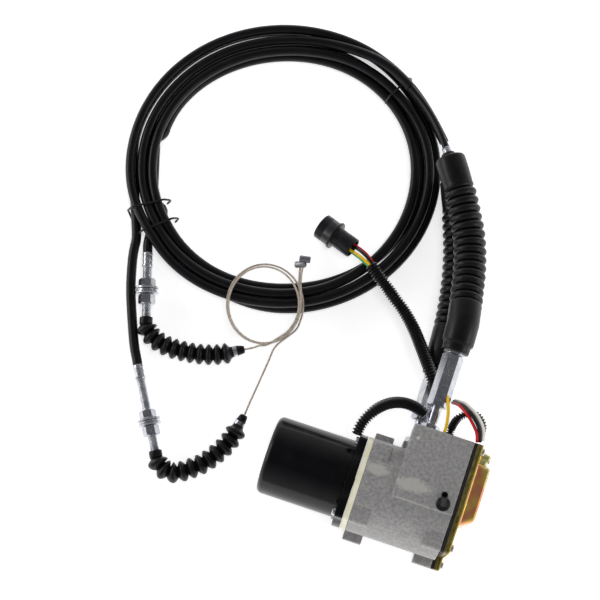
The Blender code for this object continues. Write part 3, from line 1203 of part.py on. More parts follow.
def tie_hoop(angle, outwards_last):
    # A wire bent over the coil: down its inner side, over its top and down its outer side
    outer = Vector(coil_point(COIL_OUTER_CENTRE, COIL_OUTER, angle))
    inner = Vector(coil_point(COIL_INNER_CENTRE, COIL_INNER, angle))
    out = (outer - inner).normalized()
    lift = TIE_RADIUS + GAP * 2
    bevel = COIL_CHAMFER - OVERLAP
    shoulder = COIL_TOP - bevel
    hoop = [(inner - out * lift, TIE_INNER_LOW), (inner - out * lift, shoulder),
            (inner + out * bevel, COIL_TOP + lift), (outer - out * bevel, COIL_TOP + lift),
            (outer + out * lift, shoulder), (outer + out * (lift + OVERLAP), TIE_OUTER_LOW)]
    points = [Vector((p[0], p[1], z)) for p, z in hoop]
    return points[::-1] if outwards_last else points


def build_cable_ends(finishes):
    # Crimped sleeve and long threaded hub, with two nuts and three washers on each
    for letter, ends, route, pitch in (("a", HUB_A, END_BOOT_A_ROUTE, END_PITCH_A),
                                       ("b", HUB_B, END_BOOT_B_ROUTE, END_PITCH_B)):
        profile, end = end_boot_profile(pitch)
        place = along(*ends)
        length = (Vector(ends[1]) - Vector(ends[0])).length
        nut_x = length - NUT_FROM_END
        hub_profile = [(GAP, HUB_BORE), (GAP, CRIMP_RADIUS), (CRIMP_LENGTH, CRIMP_RADIUS),
                       (CRIMP_LENGTH, HUB_RADIUS)]
        x = nut_x + NUT_THICKNESS + WASHER_GAP
        for _ in range(WASHER_COUNT):
            hub_profile += [(x, HUB_RADIUS), (x, WASHER_RADIUS), (x + WASHER_THICKNESS, WASHER_RADIUS),
                            (x + WASHER_THICKNESS, HUB_RADIUS)]
            x += WASHER_THICKNESS + WASHER_GAP
        hub_profile += [(length, HUB_RADIUS), (length, HUB_BORE)]
        hub = bmesh.new()
        turned(hub, hub_profile, HUB_SIDES, place)
        fitting = add_object("cable_end_" + letter, hub, finishes["zinc"])
        for number, (start, thickness) in enumerate(((nut_x, NUT_THICKNESS), (x, NUT_THICKNESS + NUT_EXTRA))):
            nut = bmesh.new()
            fused_nut(nut, NUT_WIDTH, start, thickness, HUB_RADIUS - 2 * GAP, place)
            combine(fitting, add_object(f"guide_nut_{letter}_{number}", nut, finishes["zinc"]), "UNION")
        # Small bellows boot with a band round its tail and a hard tip for the rope
        boot = bmesh.new()
        sleeve(boot, route, profile, END_SIDES)
        rubber = add_object("end_boot_" + letter, boot, finishes["black_rubber"], sharp=60.0)
        band = bmesh.new()
        start = end - BAND_FROM_END
        inner = END_TAIL_RADIUS * BAND_SEAT
        sleeve(band, route, [(start, inner), (start, BAND_RADIUS), (start + BAND_LENGTH, BAND_RADIUS),
                             (start + BAND_LENGTH, inner)], END_SIDES)
        combine(rubber, add_object("guide_band_" + letter, band, finishes["zinc"]), "UNION")
    tube("cable_tail", TAIL_ROUTE, SLEEVE_RADIUS, finishes["black_plastic"])


def end_boot_profile(pitch):
    grip = bore_radius(HUB_RADIUS, END_SIDES)
    points = [(0.0, END_COLLAR_RADIUS), (END_COLLAR_LENGTH, END_COLLAR_RADIUS)]
    s = END_COLLAR_LENGTH
    for _ in range(END_FOLDS):
        points += [(s + pitch * 0.5, END_CREST), (s + pitch, END_ROOT)]
        s += pitch
    points += [(s + TAIL_BEVEL, END_TAIL_RADIUS), (s + END_TAIL_LENGTH, END_TAIL_RADIUS)]
    end = s + END_TAIL_LENGTH
    hole = ROPE_RADIUS + 2 * GAP
    waist = END_TAIL_RADIUS - END_WALL
    points += [(end, TIP_RADIUS), (end + TIP_LENGTH, TIP_RADIUS - END_WALL / 2), (end + TIP_LENGTH, hole),
               (end - TIP_LENGTH / 2, hole), (end - TIP_LENGTH, waist)]
    points += bore_rings(s, END_GRIP_LENGTH, grip + END_SLACK, 2 * pitch)
    points += [(END_GRIP_LENGTH - END_WALL, grip), (0.0, grip)]
    return points, end


def build_ropes(finishes):
    # Thin wire ropes from the tips to one small ring that lies across the coil, and their nipples
    ring = bmesh.new()
    centre = Vector(ROPE_RING_CENTRE)
    place = Matrix.Translation(centre) @ Matrix.Rotation(COIL_TURN, 4, "Z")
    rings = []
    for i in range(ROPE_RING_SECTIONS):
        angle = math.tau * i / ROPE_RING_SECTIONS
        spoke = Vector((math.cos(angle), math.sin(angle), 0.0))
        middle = Vector((ROPE_RING_RADII[0] * spoke.x, ROPE_RING_RADII[1] * spoke.y, 0.0))
        section = [(a * ROPE_RING_WIDTH / 2, b * ROPE_RING_HALF_HEIGHT)
                   for a, b in circle(1.0, ROPE_RING_SIDES)]
        rings.append([place @ (middle + spoke * across + Vector((0, 0, up))) for across, up in section])
    skin(ring, rings, closed=True)
    add_object("rope_coil", ring, finishes["rope"])
    for name, boot_route, pitch, route in (("rope_a", END_BOOT_A_ROUTE, END_PITCH_A, ROPE_A_ROUTE),
                                           ("rope_b", END_BOOT_B_ROUTE, END_PITCH_B, ROPE_B_ROUTE)):
        tip = end_boot_profile(pitch)[1] + TIP_LENGTH
        mouth = [on_route(boot_route, tip - TIP_LENGTH / 2), on_route(boot_route, tip + GAP)]
        tube(name, mouth + route, ROPE_RADIUS, finishes["rope"], spacing=ROPE_SPACING)
    for letter, start, turn, tail in (("a", NIPPLE_A, NIPPLE_A_TURN, NIPPLE_A_TAIL),
                                      ("b", NIPPLE_B, NIPPLE_B_TURN, NIPPLE_B_TAIL)):
        nipple = bmesh.new()
        direction = Vector((math.cos(math.radians(turn)), math.sin(math.radians(turn)), 0.0))
        place = along(start, Vector(start) + direction)
        turned(nipple, [(-tail, 0.0), (-tail, ROPE_RADIUS), (0.0, ROPE_RADIUS), (0.0, NIPPLE_RADIUS),
                        (NIPPLE_LENGTH, NIPPLE_RADIUS), (NIPPLE_LENGTH, 0.0)], HUB_SIDES, place, closed=False)
        add_object("rope_nipple_" + letter, nipple, finishes["zinc"])


def build_harness(finishes):
    # Round plug: open front barrel, flange ring and a narrower rear
    plug = bmesh.new()
    place = along(CONNECTOR_FRONT, CONNECTOR_BACK)
    inner = CONNECTOR_RADIUS - CONNECTOR_WALL
    flange_x1 = CONNECTOR_FLANGE_X + CONNECTOR_FLANGE_THICKNESS
    end = CONNECTOR_LENGTH
    rear_hole = CONNECTOR_REAR_RADIUS - CONNECTOR_WALL
    turned(plug, [(CONNECTOR_MOUTH_DEPTH, 0.0), (CONNECTOR_MOUTH_DEPTH, inner), (0.0, inner),
                  (0.0, CONNECTOR_RADIUS),
                  (CONNECTOR_FLANGE_X, CONNECTOR_RADIUS), (CONNECTOR_FLANGE_X, CONNECTOR_FLANGE_RADIUS),
                  (flange_x1, CONNECTOR_FLANGE_RADIUS), (flange_x1, CONNECTOR_REAR_RADIUS),
                  (end, CONNECTOR_REAR_RADIUS), (end, rear_hole), (end - CONNECTOR_REAR_DEPTH, rear_hole),
                  (end - CONNECTOR_REAR_DEPTH, 0.0)], CONNECTOR_SIDES, place, closed=False)
    add_object("connector", plug, finishes["black_plastic"])
    for name, route, radius in (("harness_conduit", HARNESS_ROUTE, HARNESS_RADIUS),
                                ("motor_conduit", MOTOR_CONDUIT_ROUTE, MOTOR_CONDUIT_RADIUS),
                                ("sensor_conduit", SENSOR_CONDUIT_ROUTE, SENSOR_CONDUIT_RADIUS)):
        tube(name, route, radius, finishes["black_plastic"], spacing=CONDUIT_SPACING)
    tube("sensor_wires", SENSOR_WIRES_ROUTE, SENSOR_WIRES_RADIUS, finishes["wires"])
    tube("yellow_wire", YELLOW_ROUTE, WIRE_COLOUR_RADIUS, finishes["wires"])
    tube("connector_wires", CONNECTOR_WIRES_ROUTE, CONNECTOR_BUNDLE_RADIUS, finishes["wires"],
         spacing=BUNDLE_SPACING)


def main():
    clear_scene()
    finishes = make_finishes()
    axis = bpy.data.objects.new("motor_axis", None)
    axis.location = (0.0, 0.0, AXIS_HEIGHT)
    bpy.context.scene.collection.objects.link(axis)
    build_housing(finishes, axis)
    build_motor(finishes, axis)
    build_gears(finishes, axis)
    build_sensor(finishes, axis)
    build_cover(finishes, axis)
    build_vent(finishes, axis)
    build_outlets(finishes, axis)
    build_boots(finishes)
    build_coil(finishes)
    build_cable_ends(finishes)
    build_ropes(finishes)
    build_harness(finishes)


main()
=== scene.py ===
import math

import bmesh
import bpy
import numpy as np
from mathutils import Matrix, Vector


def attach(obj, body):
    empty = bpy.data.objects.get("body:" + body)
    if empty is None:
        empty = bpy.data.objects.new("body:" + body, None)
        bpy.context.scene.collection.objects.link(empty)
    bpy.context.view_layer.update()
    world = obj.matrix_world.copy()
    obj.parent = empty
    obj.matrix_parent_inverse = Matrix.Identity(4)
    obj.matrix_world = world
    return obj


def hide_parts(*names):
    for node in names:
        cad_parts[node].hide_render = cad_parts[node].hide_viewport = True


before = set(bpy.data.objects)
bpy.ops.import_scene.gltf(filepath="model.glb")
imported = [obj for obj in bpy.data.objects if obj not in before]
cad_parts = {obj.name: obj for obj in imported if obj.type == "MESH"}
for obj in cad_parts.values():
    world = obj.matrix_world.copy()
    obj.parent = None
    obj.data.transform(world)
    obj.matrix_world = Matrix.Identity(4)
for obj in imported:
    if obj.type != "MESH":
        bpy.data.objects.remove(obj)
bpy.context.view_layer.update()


# Studio: a white table seen from almost straight above, with soft boxes at its sides.
# The sides carry the light, so that turned metal and gloss paint show bright edges
# and a dark middle, as in a product photograph.
def linear(hex_code):
    # An sRGB hex colour as the linear values that a shader takes
    channels = [int(hex_code[i:i + 2], 16) / 255 for i in (1, 3, 5)]
    return (*(c / 12.92 if c <= 0.04045 else ((c + 0.055) / 1.055) ** 2.4 for c in channels), 1.0)


def add(tree, kind, settings={}, links={}):
    # Adds a node: settings fill its input sockets or attributes, links feed its inputs
    node = tree.nodes.new(kind)
    for key, value in settings.items():
        if isinstance(key, int) or key in node.inputs:
            node.inputs[key].default_value = value
        else:
            setattr(node, key, value)
    for socket, source in links.items():
        tree.links.new(source, node.inputs[socket])
    return node


VIEW_AZIMUTH = math.radians(18.5)
VIEW_ELEVATION = math.radians(79.0)
looking = Vector((-math.sin(VIEW_AZIMUTH) * math.cos(VIEW_ELEVATION),
                  math.cos(VIEW_AZIMUTH) * math.cos(VIEW_ELEVATION), -math.sin(VIEW_ELEVATION)))
camera = bpy.data.objects.new("camera", bpy.data.cameras.new("camera"))
camera.data.lens = 108.0
camera.data.sensor_width = 36.0
camera.location = (-0.0149, -0.1733, 1.8541)
camera.rotation_mode = "QUATERNION"
camera.rotation_quaternion = looking.to_track_quat("-Z", "Y")
bpy.context.scene.collection.objects.link(camera)
bpy.context.scene.camera = camera
bpy.context.scene.view_settings.view_transform = "Standard"

table_mesh = bpy.data.meshes.new("table")
table_mesh.from_pydata([(-4, -4, -0.0006), (4, -4, -0.0006), (4, 4, -0.0006), (-4, 4, -0.0006)], [], [(0, 1, 2, 3)])
table = bpy.data.objects.new("table", table_mesh)
bpy.context.scene.collection.objects.link(table)
white_table = bpy.data.materials.new("white_table")
white_table.use_nodes = True
tree = white_table.node_tree
tree.nodes.clear()
rays = add(tree, "ShaderNodeLightPath")
mirrored = add(tree, "ShaderNodeMath", {"operation": "MULTIPLY", 1: 0.62}, {0: rays.outputs["Is Glossy Ray"]})
lift = add(tree, "ShaderNodeMath", {"operation": "MULTIPLY_ADD", 1: 0.60}, {0: rays.outputs["Is Camera Ray"],
                                                                          2: mirrored.outputs[0]})
card = add(tree, "ShaderNodeBsdfDiffuse", {"Color": linear("#F4F4F4")})
glow = add(tree, "ShaderNodeEmission", {"Color": (1.0, 1.0, 1.0, 1.0)}, {"Strength": lift.outputs[0]})
both = add(tree, "ShaderNodeAddShader", {}, {0: card.outputs[0], 1: glow.outputs[0]})
add(tree, "ShaderNodeOutputMaterial", {}, {"Surface": both.outputs[0]})
table_mesh.materials.append(white_table)

room = bpy.data.worlds.new("studio_room")
bpy.context.scene.world = room
room.use_nodes = True
tree = room.node_tree
tree.nodes.clear()
rays = add(tree, "ShaderNodeLightPath")
around = add(tree, "ShaderNodeTexCoord")
height = add(tree, "ShaderNodeSeparateXYZ", {}, {0: around.outputs["Generated"]})
ceiling = add(tree, "ShaderNodeMapRange", {"From Min": 0.25, "From Max": 0.90}, {"Value": height.outputs[2]})
shade = add(tree, "ShaderNodeMix", {"data_type": "RGBA", 6: linear("#EEEEF2"), 7: linear("#6C6C70")},
            {0: ceiling.outputs[0]})
walls = add(tree, "ShaderNodeBackground", {"Strength": 0.62}, {"Color": shade.outputs[2]})
white = add(tree, "ShaderNodeBackground", {"Color": (1.0, 1.0, 1.0, 1.0), "Strength": 1.0})
choice = add(tree, "ShaderNodeMixShader", {},
             {0: rays.outputs["Is Camera Ray"], 1: walls.outputs[0], 2: white.outputs[0]})
add(tree, "ShaderNodeOutputWorld", {}, {"Surface": choice.outputs[0]})

for name, place, width, height, power in (
        ("rear_soft_box", (-0.3, 2.1, 0.75), 2.4, 0.55, 16.0),
        ("front_soft_box", (0.2, -1.9, 0.80), 2.2, 0.55, 20.0),
        ("left_soft_box", (-2.0, 0.1, 0.75), 1.4, 0.5, 8.0),
        ("right_soft_box", (1.9, 0.2, 0.75), 1.4, 0.5, 6.0),
        ("top_soft_box", (0.3, 0.1, 2.6), 0.9, 0.9, 15.0)):
    lamp = bpy.data.lights.new(name, "AREA")
    lamp.shape = "RECTANGLE"
    lamp.size = width
    lamp.size_y = height
    lamp.energy = power
    box = bpy.data.objects.new(name, lamp)
    box.location = place
    box.rotation_mode = "QUATERNION"
    box.rotation_quaternion = (Vector((-0.1, 0.15, 0.0)) - Vector(place)).to_track_quat("-Z", "Y")
    box.visible_glossy = name in ("left_soft_box", "right_soft_box")
    bpy.context.scene.collection.objects.link(box)


# Gear housing: one die casting in aluminium, with corner lugs, feet and the cable block.
# Sand-fine cast skin, rounded cast edges, stained by handling, its edges painted brighter: a painted highlight, partly
# wear from handling.
def new_material(name, colour, roughness, metallic=0.0):
    material = bpy.data.materials.new(name)
    material.use_nodes = True
    shader = material.node_tree.nodes["Principled BSDF"]
    shader.inputs["Base Color"].default_value = linear(colour)
    shader.inputs["Roughness"].default_value = roughness
    shader.inputs["Metallic"].default_value = metallic
    return material, material.node_tree, shader


def noise(tree, place, size, detail, **settings):
    # Noise over the piece's own coordinates, its patches about this size in metres
    return add(tree, "ShaderNodeTexNoise", {"Scale": 1 / size, "Detail": detail, **settings},
               {"Vector": place.outputs["Object"]})


def mottle(tree, shader, first, second, size, low=0.35, high=0.65):
    # Colour that drifts between two hex values in patches of about this size, in metres
    place = add(tree, "ShaderNodeTexCoord")
    patches = noise(tree, place, size, 6.0, Roughness=0.6)
    spread = add(tree, "ShaderNodeMapRange", {"From Min": low, "From Max": high}, {"Value": patches.outputs["Fac"]})
    blend = add(tree, "ShaderNodeMix", {"data_type": "RGBA", 6: linear(first), 7: linear(second)},
                {0: spread.outputs[0]})
    tree.links.new(blend.outputs[2], shader.inputs["Base Color"])
    return place, blend


def grain(tree, shader, place, size, depth, strength):
    # Fine relief: a noise of this size and depth in metres
    bump = add(tree, "ShaderNodeBump", {"Strength": strength, "Distance": depth},
               {"Height": noise(tree, place, size, 3.0).outputs["Fac"]})
    tree.links.new(bump.outputs[0], shader.inputs["Normal"])


def roughness_between(tree, shader, source, low, high):
    spread = add(tree, "ShaderNodeMapRange", {"From Min": 0.3, "From Max": 0.7, "To Min": low, "To Max": high},
                 {"Value": source})
    tree.links.new(spread.outputs[0], shader.inputs["Roughness"])


def surface(name, colour, roughness, metallic, patches, relief, rubs=None, extra={}):
    # patches: two colours and their size. relief: size, depth, strength.
    # rubs, where handling changed the gloss: size, detail and harshness, then least and most roughness
    material, tree, shader = new_material(name, colour, roughness, metallic)
    place, _ = mottle(tree, shader, *patches)
    if rubs:
        size, detail, harshness, low, high = rubs
        roughness_between(tree, shader, noise(tree, place, size, detail, Roughness=harshness).outputs["Fac"], low, high)
    grain(tree, shader, place, *relief)
    for socket, value in extra.items():
        shader.inputs[socket].default_value = value
    return material


# Grey cast skin, speckled with oxide, and pale along its edges: a painted edge highlight, partly handling wear
cast_aluminium, tree, shader = new_material("cast_aluminium", "#8E8F91", 0.5, 0.35)
place, blend = mottle(tree, shader, "#8D8C8C", "#ADABA8", 0.0030, 0.34, 0.66)
stains = noise(tree, place, 0.0042, 9.0, Roughness=0.78, Distortion=0.4)
dark = add(tree, "ShaderNodeMapRange", {"From Min": 0.57, "From Max": 0.68, "To Max": 0.55},
           {"Value": stains.outputs["Fac"]})
stained = add(tree, "ShaderNodeMix", {"data_type": "RGBA", 7: linear("#4E4F54")},
              {0: dark.outputs[0], 6: blend.outputs[2]})
# Painted highlight: sharp edges found by pointiness turn pale #D6D6D5, partly also handling wear
edges = add(tree, "ShaderNodeNewGeometry")
edge_highlight_and_wear = add(tree, "ShaderNodeMapRange", {"From Min": 0.53, "From Max": 0.60, "To Max": 0.75},
             {"Value": edges.outputs["Pointiness"]})
highlighted_and_worn_colour = add(tree, "ShaderNodeMix", {"data_type": "RGBA", 7: linear("#D6D6D5")},
           {0: edge_highlight_and_wear.outputs[0], 6: stained.outputs[2]})
finish_colour = highlighted_and_worn_colour.outputs[2]
for centre, half, code in (((0.0015, 0.0145, 0.0965), (0.0125, 0.0058, 0.0120), "#C6C3BC"),
                           ((0.0395, 0.0105, 0.1020), (0.0180, 0.0068, 0.0040), "#C6C3BC"),
                           ((0.0300, 0.0560, 0.1020), (0.0019, 0.0017, 0.0040), "#D9D2CB")):
    # A pale patch left bare on the casting, with a ragged edge
    away = add(tree, "ShaderNodeVectorMath", {"operation": "SUBTRACT", 1: centre}, {0: place.outputs["Object"]})
    share = add(tree, "ShaderNodeVectorMath", {"operation": "DIVIDE", 1: half}, {0: away.outputs[0]})
    reach = add(tree, "ShaderNodeVectorMath", {"operation": "LENGTH"}, {0: share.outputs[0]})
    ragged = add(tree, "ShaderNodeMath", {"operation": "MULTIPLY_ADD", 1: 1.9},
                 {0: stains.outputs["Fac"], 2: reach.outputs["Value"]})
    inside = add(tree, "ShaderNodeMapRange", {"From Min": 2.10, "From Max": 1.72, "To Max": 0.78},
                 {"Value": ragged.outputs[0]})
    patch = add(tree, "ShaderNodeMix", {"data_type": "RGBA", 7: linear(code)}, {0: inside.outputs[0], 6: finish_colour})
    finish_colour = patch.outputs[2]
tree.links.new(finish_colour, shader.inputs["Base Color"])
roughness_between(tree, shader, stains.outputs["Fac"], 0.38, 0.58)
coarse = noise(tree, place, 0.004, 6.0, Roughness=0.65)
swell = add(tree, "ShaderNodeBump", {"Strength": 0.5, "Distance": 0.0004}, {"Height": coarse.outputs["Fac"]})
skin_grain = noise(tree, place, 0.0007, 3.0)
skin_bump = add(tree, "ShaderNodeBump", {"Strength": 0.5, "Distance": 0.00012},
                {"Height": skin_grain.outputs["Fac"], "Normal": swell.outputs[0]})
tree.links.new(skin_bump.outputs[0], shader.inputs["Normal"])

# The motor axis lies this high above the feet; the barrel's radius, and the corner lugs' length and reach
AXIS = 0.052
HOUSING_START, HOUSING_END = -0.00975, 0.08425
BARREL = 0.048
LUG_LENGTH, LUG = 0.0195, 0.0415


def prism(shape, outline, start, end, place=Matrix.Identity(4)):
    # Extrudes a closed (y, z) outline, measured from the motor axis, along X
    rows = [[shape.verts.new(place @ Vector((x, y, z + AXIS))) for y, z in outline] for x in (start, end)]
    count = len(outline)
    for i in range(count):
        j = (i + 1) % count
        shape.faces.new((rows[0][i], rows[0][j], rows[1][j], rows[1][i]))
    shape.faces.new(rows[0])
    shape.faces.new(rows[1])
    bmesh.ops.recalc_face_normals(shape, faces=shape.faces)


def arc(y, z, radius, first, last, steps):
    # Points of an arc about (y, z) between two angles, in degrees from +Y to +Z
    angles = [math.radians(first + (last - first) * i / steps) for i in range(steps + 1)]
    return [(y + radius * math.cos(a), z + radius * math.sin(a)) for a in angles]


def round_corner(y, z, radius, first, steps=6):
    return arc(y, z, radius, first, first + 90, steps)


def ring_outline(radius, count):
    return [(radius * math.cos(math.tau * i / count), radius * math.sin(math.tau * i / count)) for i in range(count)]


def dress(name, mesh, finish, body, sharp):
    # Turns a mesh into a piece of the model that rides on one of its bodies
    mesh.materials.append(finish)
    mesh.shade_smooth()
    mesh.set_sharp_from_angle(angle=math.radians(sharp))
    thing = bpy.data.objects.new(name, mesh)
    bpy.context.scene.collection.objects.link(thing)
    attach(thing, body)
    return thing


def baked(target, modifiers, tools=()):
    # Applies modifiers to a scratch object, and gives back its mesh
    for kind, settings in modifiers:
        modifier = target.modifiers.new(kind.lower(), kind)
        for key, value in settings.items():
            setattr(modifier, key, value)
    bpy.context.view_layer.update()
    made = bpy.data.meshes.new_from_object(target.evaluated_get(bpy.context.evaluated_depsgraph_get()))
    for item in (target, *tools):
        bpy.data.objects.remove(item)
    made.materials.clear()
    return made


def scratch(name, shape):
    mesh = bpy.data.meshes.new(name)
    shape.to_mesh(mesh)
    shape.free()
    thing = bpy.data.objects.new(name, mesh)
    bpy.context.scene.collection.objects.link(thing)
    return thing


FOOT_TOP = -AXIS + 0.017
FOOT_REACH, REAR_FOOT_REACH = 0.0544, 0.0590
CORNER = 0.004
BLOCK_REAR, BLOCK_TOP, BLOCK_FRONT, BLOCK_BOTTOM = 0.070, 0.050, -0.005, -0.008
LOWER_BLOCK_REAR, LOWER_BLOCK_BOTTOM = 0.057, -0.036
FOOT_HOLE_AT, FOOT_HOLE_RADIUS, FOOT_HOLE_DEPTH = 0.0469, 0.0042, 0.015
outer = bmesh.new()
prism(outer, ring_outline(BARREL, 128), HOUSING_START, HOUSING_END)
solids = []
for start, end, reach in ((HOUSING_START, HOUSING_START + LUG_LENGTH, REAR_FOOT_REACH),
                          (HOUSING_END - LUG_LENGTH, HOUSING_END, FOOT_REACH)):
    lug = bmesh.new()
    prism(lug, [(-FOOT_REACH, -AXIS), (reach, -AXIS), (reach, FOOT_TOP), (LUG, FOOT_TOP)]
          + round_corner(LUG - CORNER, LUG - CORNER, CORNER, 0) + round_corner(CORNER - LUG, LUG - CORNER, CORNER, 90)
          + [(-LUG, FOOT_TOP), (-FOOT_REACH, FOOT_TOP)], start, end)
    solids.append(("UNION", scratch("lug", lug)))
block = bmesh.new()
prism(block, [(BLOCK_FRONT, BLOCK_BOTTOM), (BLOCK_REAR, BLOCK_BOTTOM)]
      + round_corner(BLOCK_REAR - CORNER, BLOCK_TOP - CORNER, CORNER, 0) + [(BLOCK_FRONT, BLOCK_TOP)],
      HOUSING_START + 0.033, HOUSING_END)
solids.append(("UNION", scratch("block", block)))
lower_block = bmesh.new()
prism(lower_block, [(0.0, LOWER_BLOCK_BOTTOM), (LOWER_BLOCK_REAR, LOWER_BLOCK_BOTTOM), (LOWER_BLOCK_REAR, -0.007),
                    (0.0, -0.007)], HOUSING_START + 0.0285, HOUSING_END)
solids.append(("UNION", scratch("lower_block", lower_block)))
# Bores from both ends, and the shaft's hole between them
for radius, start, end in ((0.040, HOUSING_START - 0.002, HOUSING_START + 0.057),
                           (0.0105, HOUSING_START + 0.050, HOUSING_START + 0.070),
                           (0.038, HOUSING_START + 0.065, HOUSING_END + 0.002)):
    bore = bmesh.new()
    prism(bore, ring_outline(radius, 96), start, end)
    solids.append(("DIFFERENCE", scratch("bore", bore)))
for x in (HOUSING_START + LUG_LENGTH / 2, HOUSING_END - LUG_LENGTH / 2):
    for y in (-FOOT_HOLE_AT, FOOT_HOLE_AT):
        hole = bmesh.new()
        upright = Matrix.Translation((x, y, -0.002)) @ Matrix.Rotation(-math.pi / 2, 4, "Y") \
            @ Matrix.Translation((0, 0, -AXIS))
        prism(hole, ring_outline(FOOT_HOLE_RADIUS, 24), 0.0, FOOT_HOLE_DEPTH, upright)
        solids.append(("DIFFERENCE", scratch("hole", hole)))
casting = scratch("casting", outer)
steps = [("BOOLEAN", {"operation": kind, "solver": "EXACT", "object": tool}) for kind, tool in solids]
steps += [("REMESH", {"mode": "VOXEL", "voxel_size": 0.0008}), ("SMOOTH", {"factor": 0.5, "iterations": 3}),
          ("DECIMATE", {"ratio": 0.35})]
housing = dress("cast_housing", baked(casting, steps, [tool for _, tool in solids]), cast_aluminium,
                "actuator", 80.0)
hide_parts("gear_housing")


# Motor: deep-drawn steel can and a pressed end plate, both in black stove enamel,
# on a moulded cream spacer ring. Gloss with a faint orange peel and a few dust marks.
black_enamel = surface("black_enamel", "#070708", 0.22, 0.0, ("#060607", "#0C0C0E", 0.02), (0.0022, 0.00003, 0.5),
                       (0.003, 9.0, 0.75, 0.10, 0.26), {"Specular IOR Level": 0.32})
# Cream nylon with a soft, slightly deep shine
cream_nylon = surface("cream_moulded_nylon", "#E4DDBB", 0.48, 0.0, ("#E6DFC0", "#F2EDD8", 0.012),
                      (0.0008, 0.00004, 0.5), extra={"Subsurface Weight": 0.05})


def plate_outline(shrink=0.0):
    # The barrel's circle joined to square corner lugs
    reach = LUG - shrink
    radius = BARREL - shrink
    crossing = math.degrees(math.asin(reach / radius))
    points = []
    for quarter in range(4):
        turn = 90.0 * quarter
        first, last = turn - 90.0 + crossing, turn + 90.0 - crossing
        points += arc(0.0, 0.0, radius, first, last, 10)
        inner = Matrix.Rotation(math.radians(turn), 2) @ Vector((LUG - CORNER, LUG - CORNER))
        points += round_corner(inner.x, inner.y, CORNER - shrink, turn)
    return points


def ring_faces(rings, sides, closed):
    rows = rings if closed else rings - 1
    a = np.arange(rows)[:, None] * sides
    b = (np.arange(rows)[:, None] + 1) % rings * sides
    i = np.arange(sides)[None, :]
    j = (i + 1) % sides
    return np.stack([a + i, a + j, b + j, b + i], axis=-1).reshape(-1, 4).tolist()


def shell(name, rings, finish, body="actuator", sharp=35.0, closed=False):
    # Joins rings of equally many points, and caps the two ends unless the rings close on themselves
    count, sides = rings.shape[:2]
    faces = ring_faces(count, sides, closed)
    if not closed:
        faces += [list(range(sides)), list(range((count - 1) * sides, count * sides))]
    mesh = bpy.data.meshes.new(name)
    mesh.from_pydata(rings.reshape(-1, 3).tolist(), [], faces)
    shape = bmesh.new()
    shape.from_mesh(mesh)
    bmesh.ops.recalc_face_normals(shape, faces=shape.faces)
    shape.to_mesh(mesh)
    shape.free()
    return dress(name, mesh, finish, body, sharp)


def stacked(outlines):
    # Rings from (x, outline) pairs, the outlines in (y, z) from the motor axis
    return np.array([[(x, y, z + AXIS) for y, z in outline] for x, outline in outlines])


def placed(points, place):
    # Points of a piece, moved from its own place to the shared frame
    matrix = np.array(place)
    return points @ matrix[:3, :3].T + matrix[:3, 3]


def lathe(profile, sides, place):
    # Rings of (along, radius) points about the local X axis of a placement
    angle = np.linspace(0.0, math.tau, sides, endpoint=False)
    return placed(np.array([[(x, r * math.cos(a), r * math.sin(a)) for a in angle] for x, r in profile]), place)


on_axis = Matrix.Translation((0.0, 0.0, AXIS))
SPACER, PLATE, CAN_LENGTH, CAN_BEND, GAP = 0.006, 0.0085, 0.0822, 0.0062, 0.0003
PLATE_END = HOUSING_START - SPACER - GAP
PLATE_START = PLATE_END - PLATE
CAN_END = PLATE_START - GAP
CAN_START = CAN_END - CAN_LENGTH
can = shell("motor_can_drawn", lathe(
    [(CAN_START, 0.010), (CAN_START, 0.0255), (CAN_START + 0.0002, 0.027)]
    + arc(CAN_START + CAN_BEND, 0.04 - CAN_BEND, CAN_BEND, 180, 90, 12)
    + [(CAN_START + 0.03, 0.04), (CAN_END - 0.003, 0.04), (CAN_END, 0.04), (CAN_END, 0.038),
       (CAN_START + 0.006, 0.038)], 128, on_axis), black_enamel, sharp=50.0)
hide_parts("motor_can")
# The plate's front edge is rolled over
edge = 0.0009
motor_plate = shell("motor_end_plate_pressed", stacked([
    (PLATE_START, plate_outline(0.0025)), (PLATE_START + 0.0001, plate_outline(edge)),
    (PLATE_START + edge * 0.3, plate_outline(edge * 0.3)),
    (PLATE_START + edge, plate_outline()), (PLATE_END - 0.0003, plate_outline()), (PLATE_END, plate_outline(0.0003))]),
    black_enamel)
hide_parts("motor_end_plate")
spacer = shell("spacer_ring_moulded", stacked([
    (HOUSING_START - SPACER, plate_outline(0.0006)), (HOUSING_START - 0.0057, plate_outline(0.0002)),
    (HOUSING_START - 0.0052, plate_outline()), (HOUSING_START - 0.0008, plate_outline()),
    (HOUSING_START - 0.0003, plate_outline(0.0003))]), cream_nylon)
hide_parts("spacer_ring")


# Screws: zinc-plated steel pan heads with a cross recess, on the motor end and on the cover.
# Bright blue-white plating, with the dark cross pressed into each head.
bright_zinc = surface("bright_zinc_plate", "#D4D6DC", 0.24, 0.92, ("#C6C9D2", "#E2E3E4", 0.004),
                      (0.0006, 0.00002, 0.4), (0.0015, 6.0, 0.5, 0.16, 0.34))


def cross_head(name, place):
    # Pan head whose seat is at local x 0 and whose dome looks along local -X
    radius, height, half_slot = 0.0042, 0.0032, 0.00045
    angle = np.linspace(0, math.tau, 64, endpoint=False)
    points = [[(x, r * math.cos(a), r * math.sin(a)) for a in angle]
              for x, r in ((0.0, radius * 0.98), (-height * 0.35, radius), (-height * 0.7, radius * 0.93),
                           (-height * 0.92, radius * 0.75))]
    for share in (0.66, 0.62, 0.5, 0.4, 0.3, 0.2, 0.1, 0.03):
        ring = []
        for a in angle:
            y, z = radius * share * math.cos(a), radius * share * math.sin(a)
            inside = min(abs(y), abs(z)) < half_slot and share < 0.64
            ring.append((-height * (1.0 - 0.1 * share) + (0.0012 * (1.1 - share) if inside else 0.0), y, z))
        points.append(ring)
    shell(name, placed(np.array(points), place), bright_zinc, sharp=30.0)


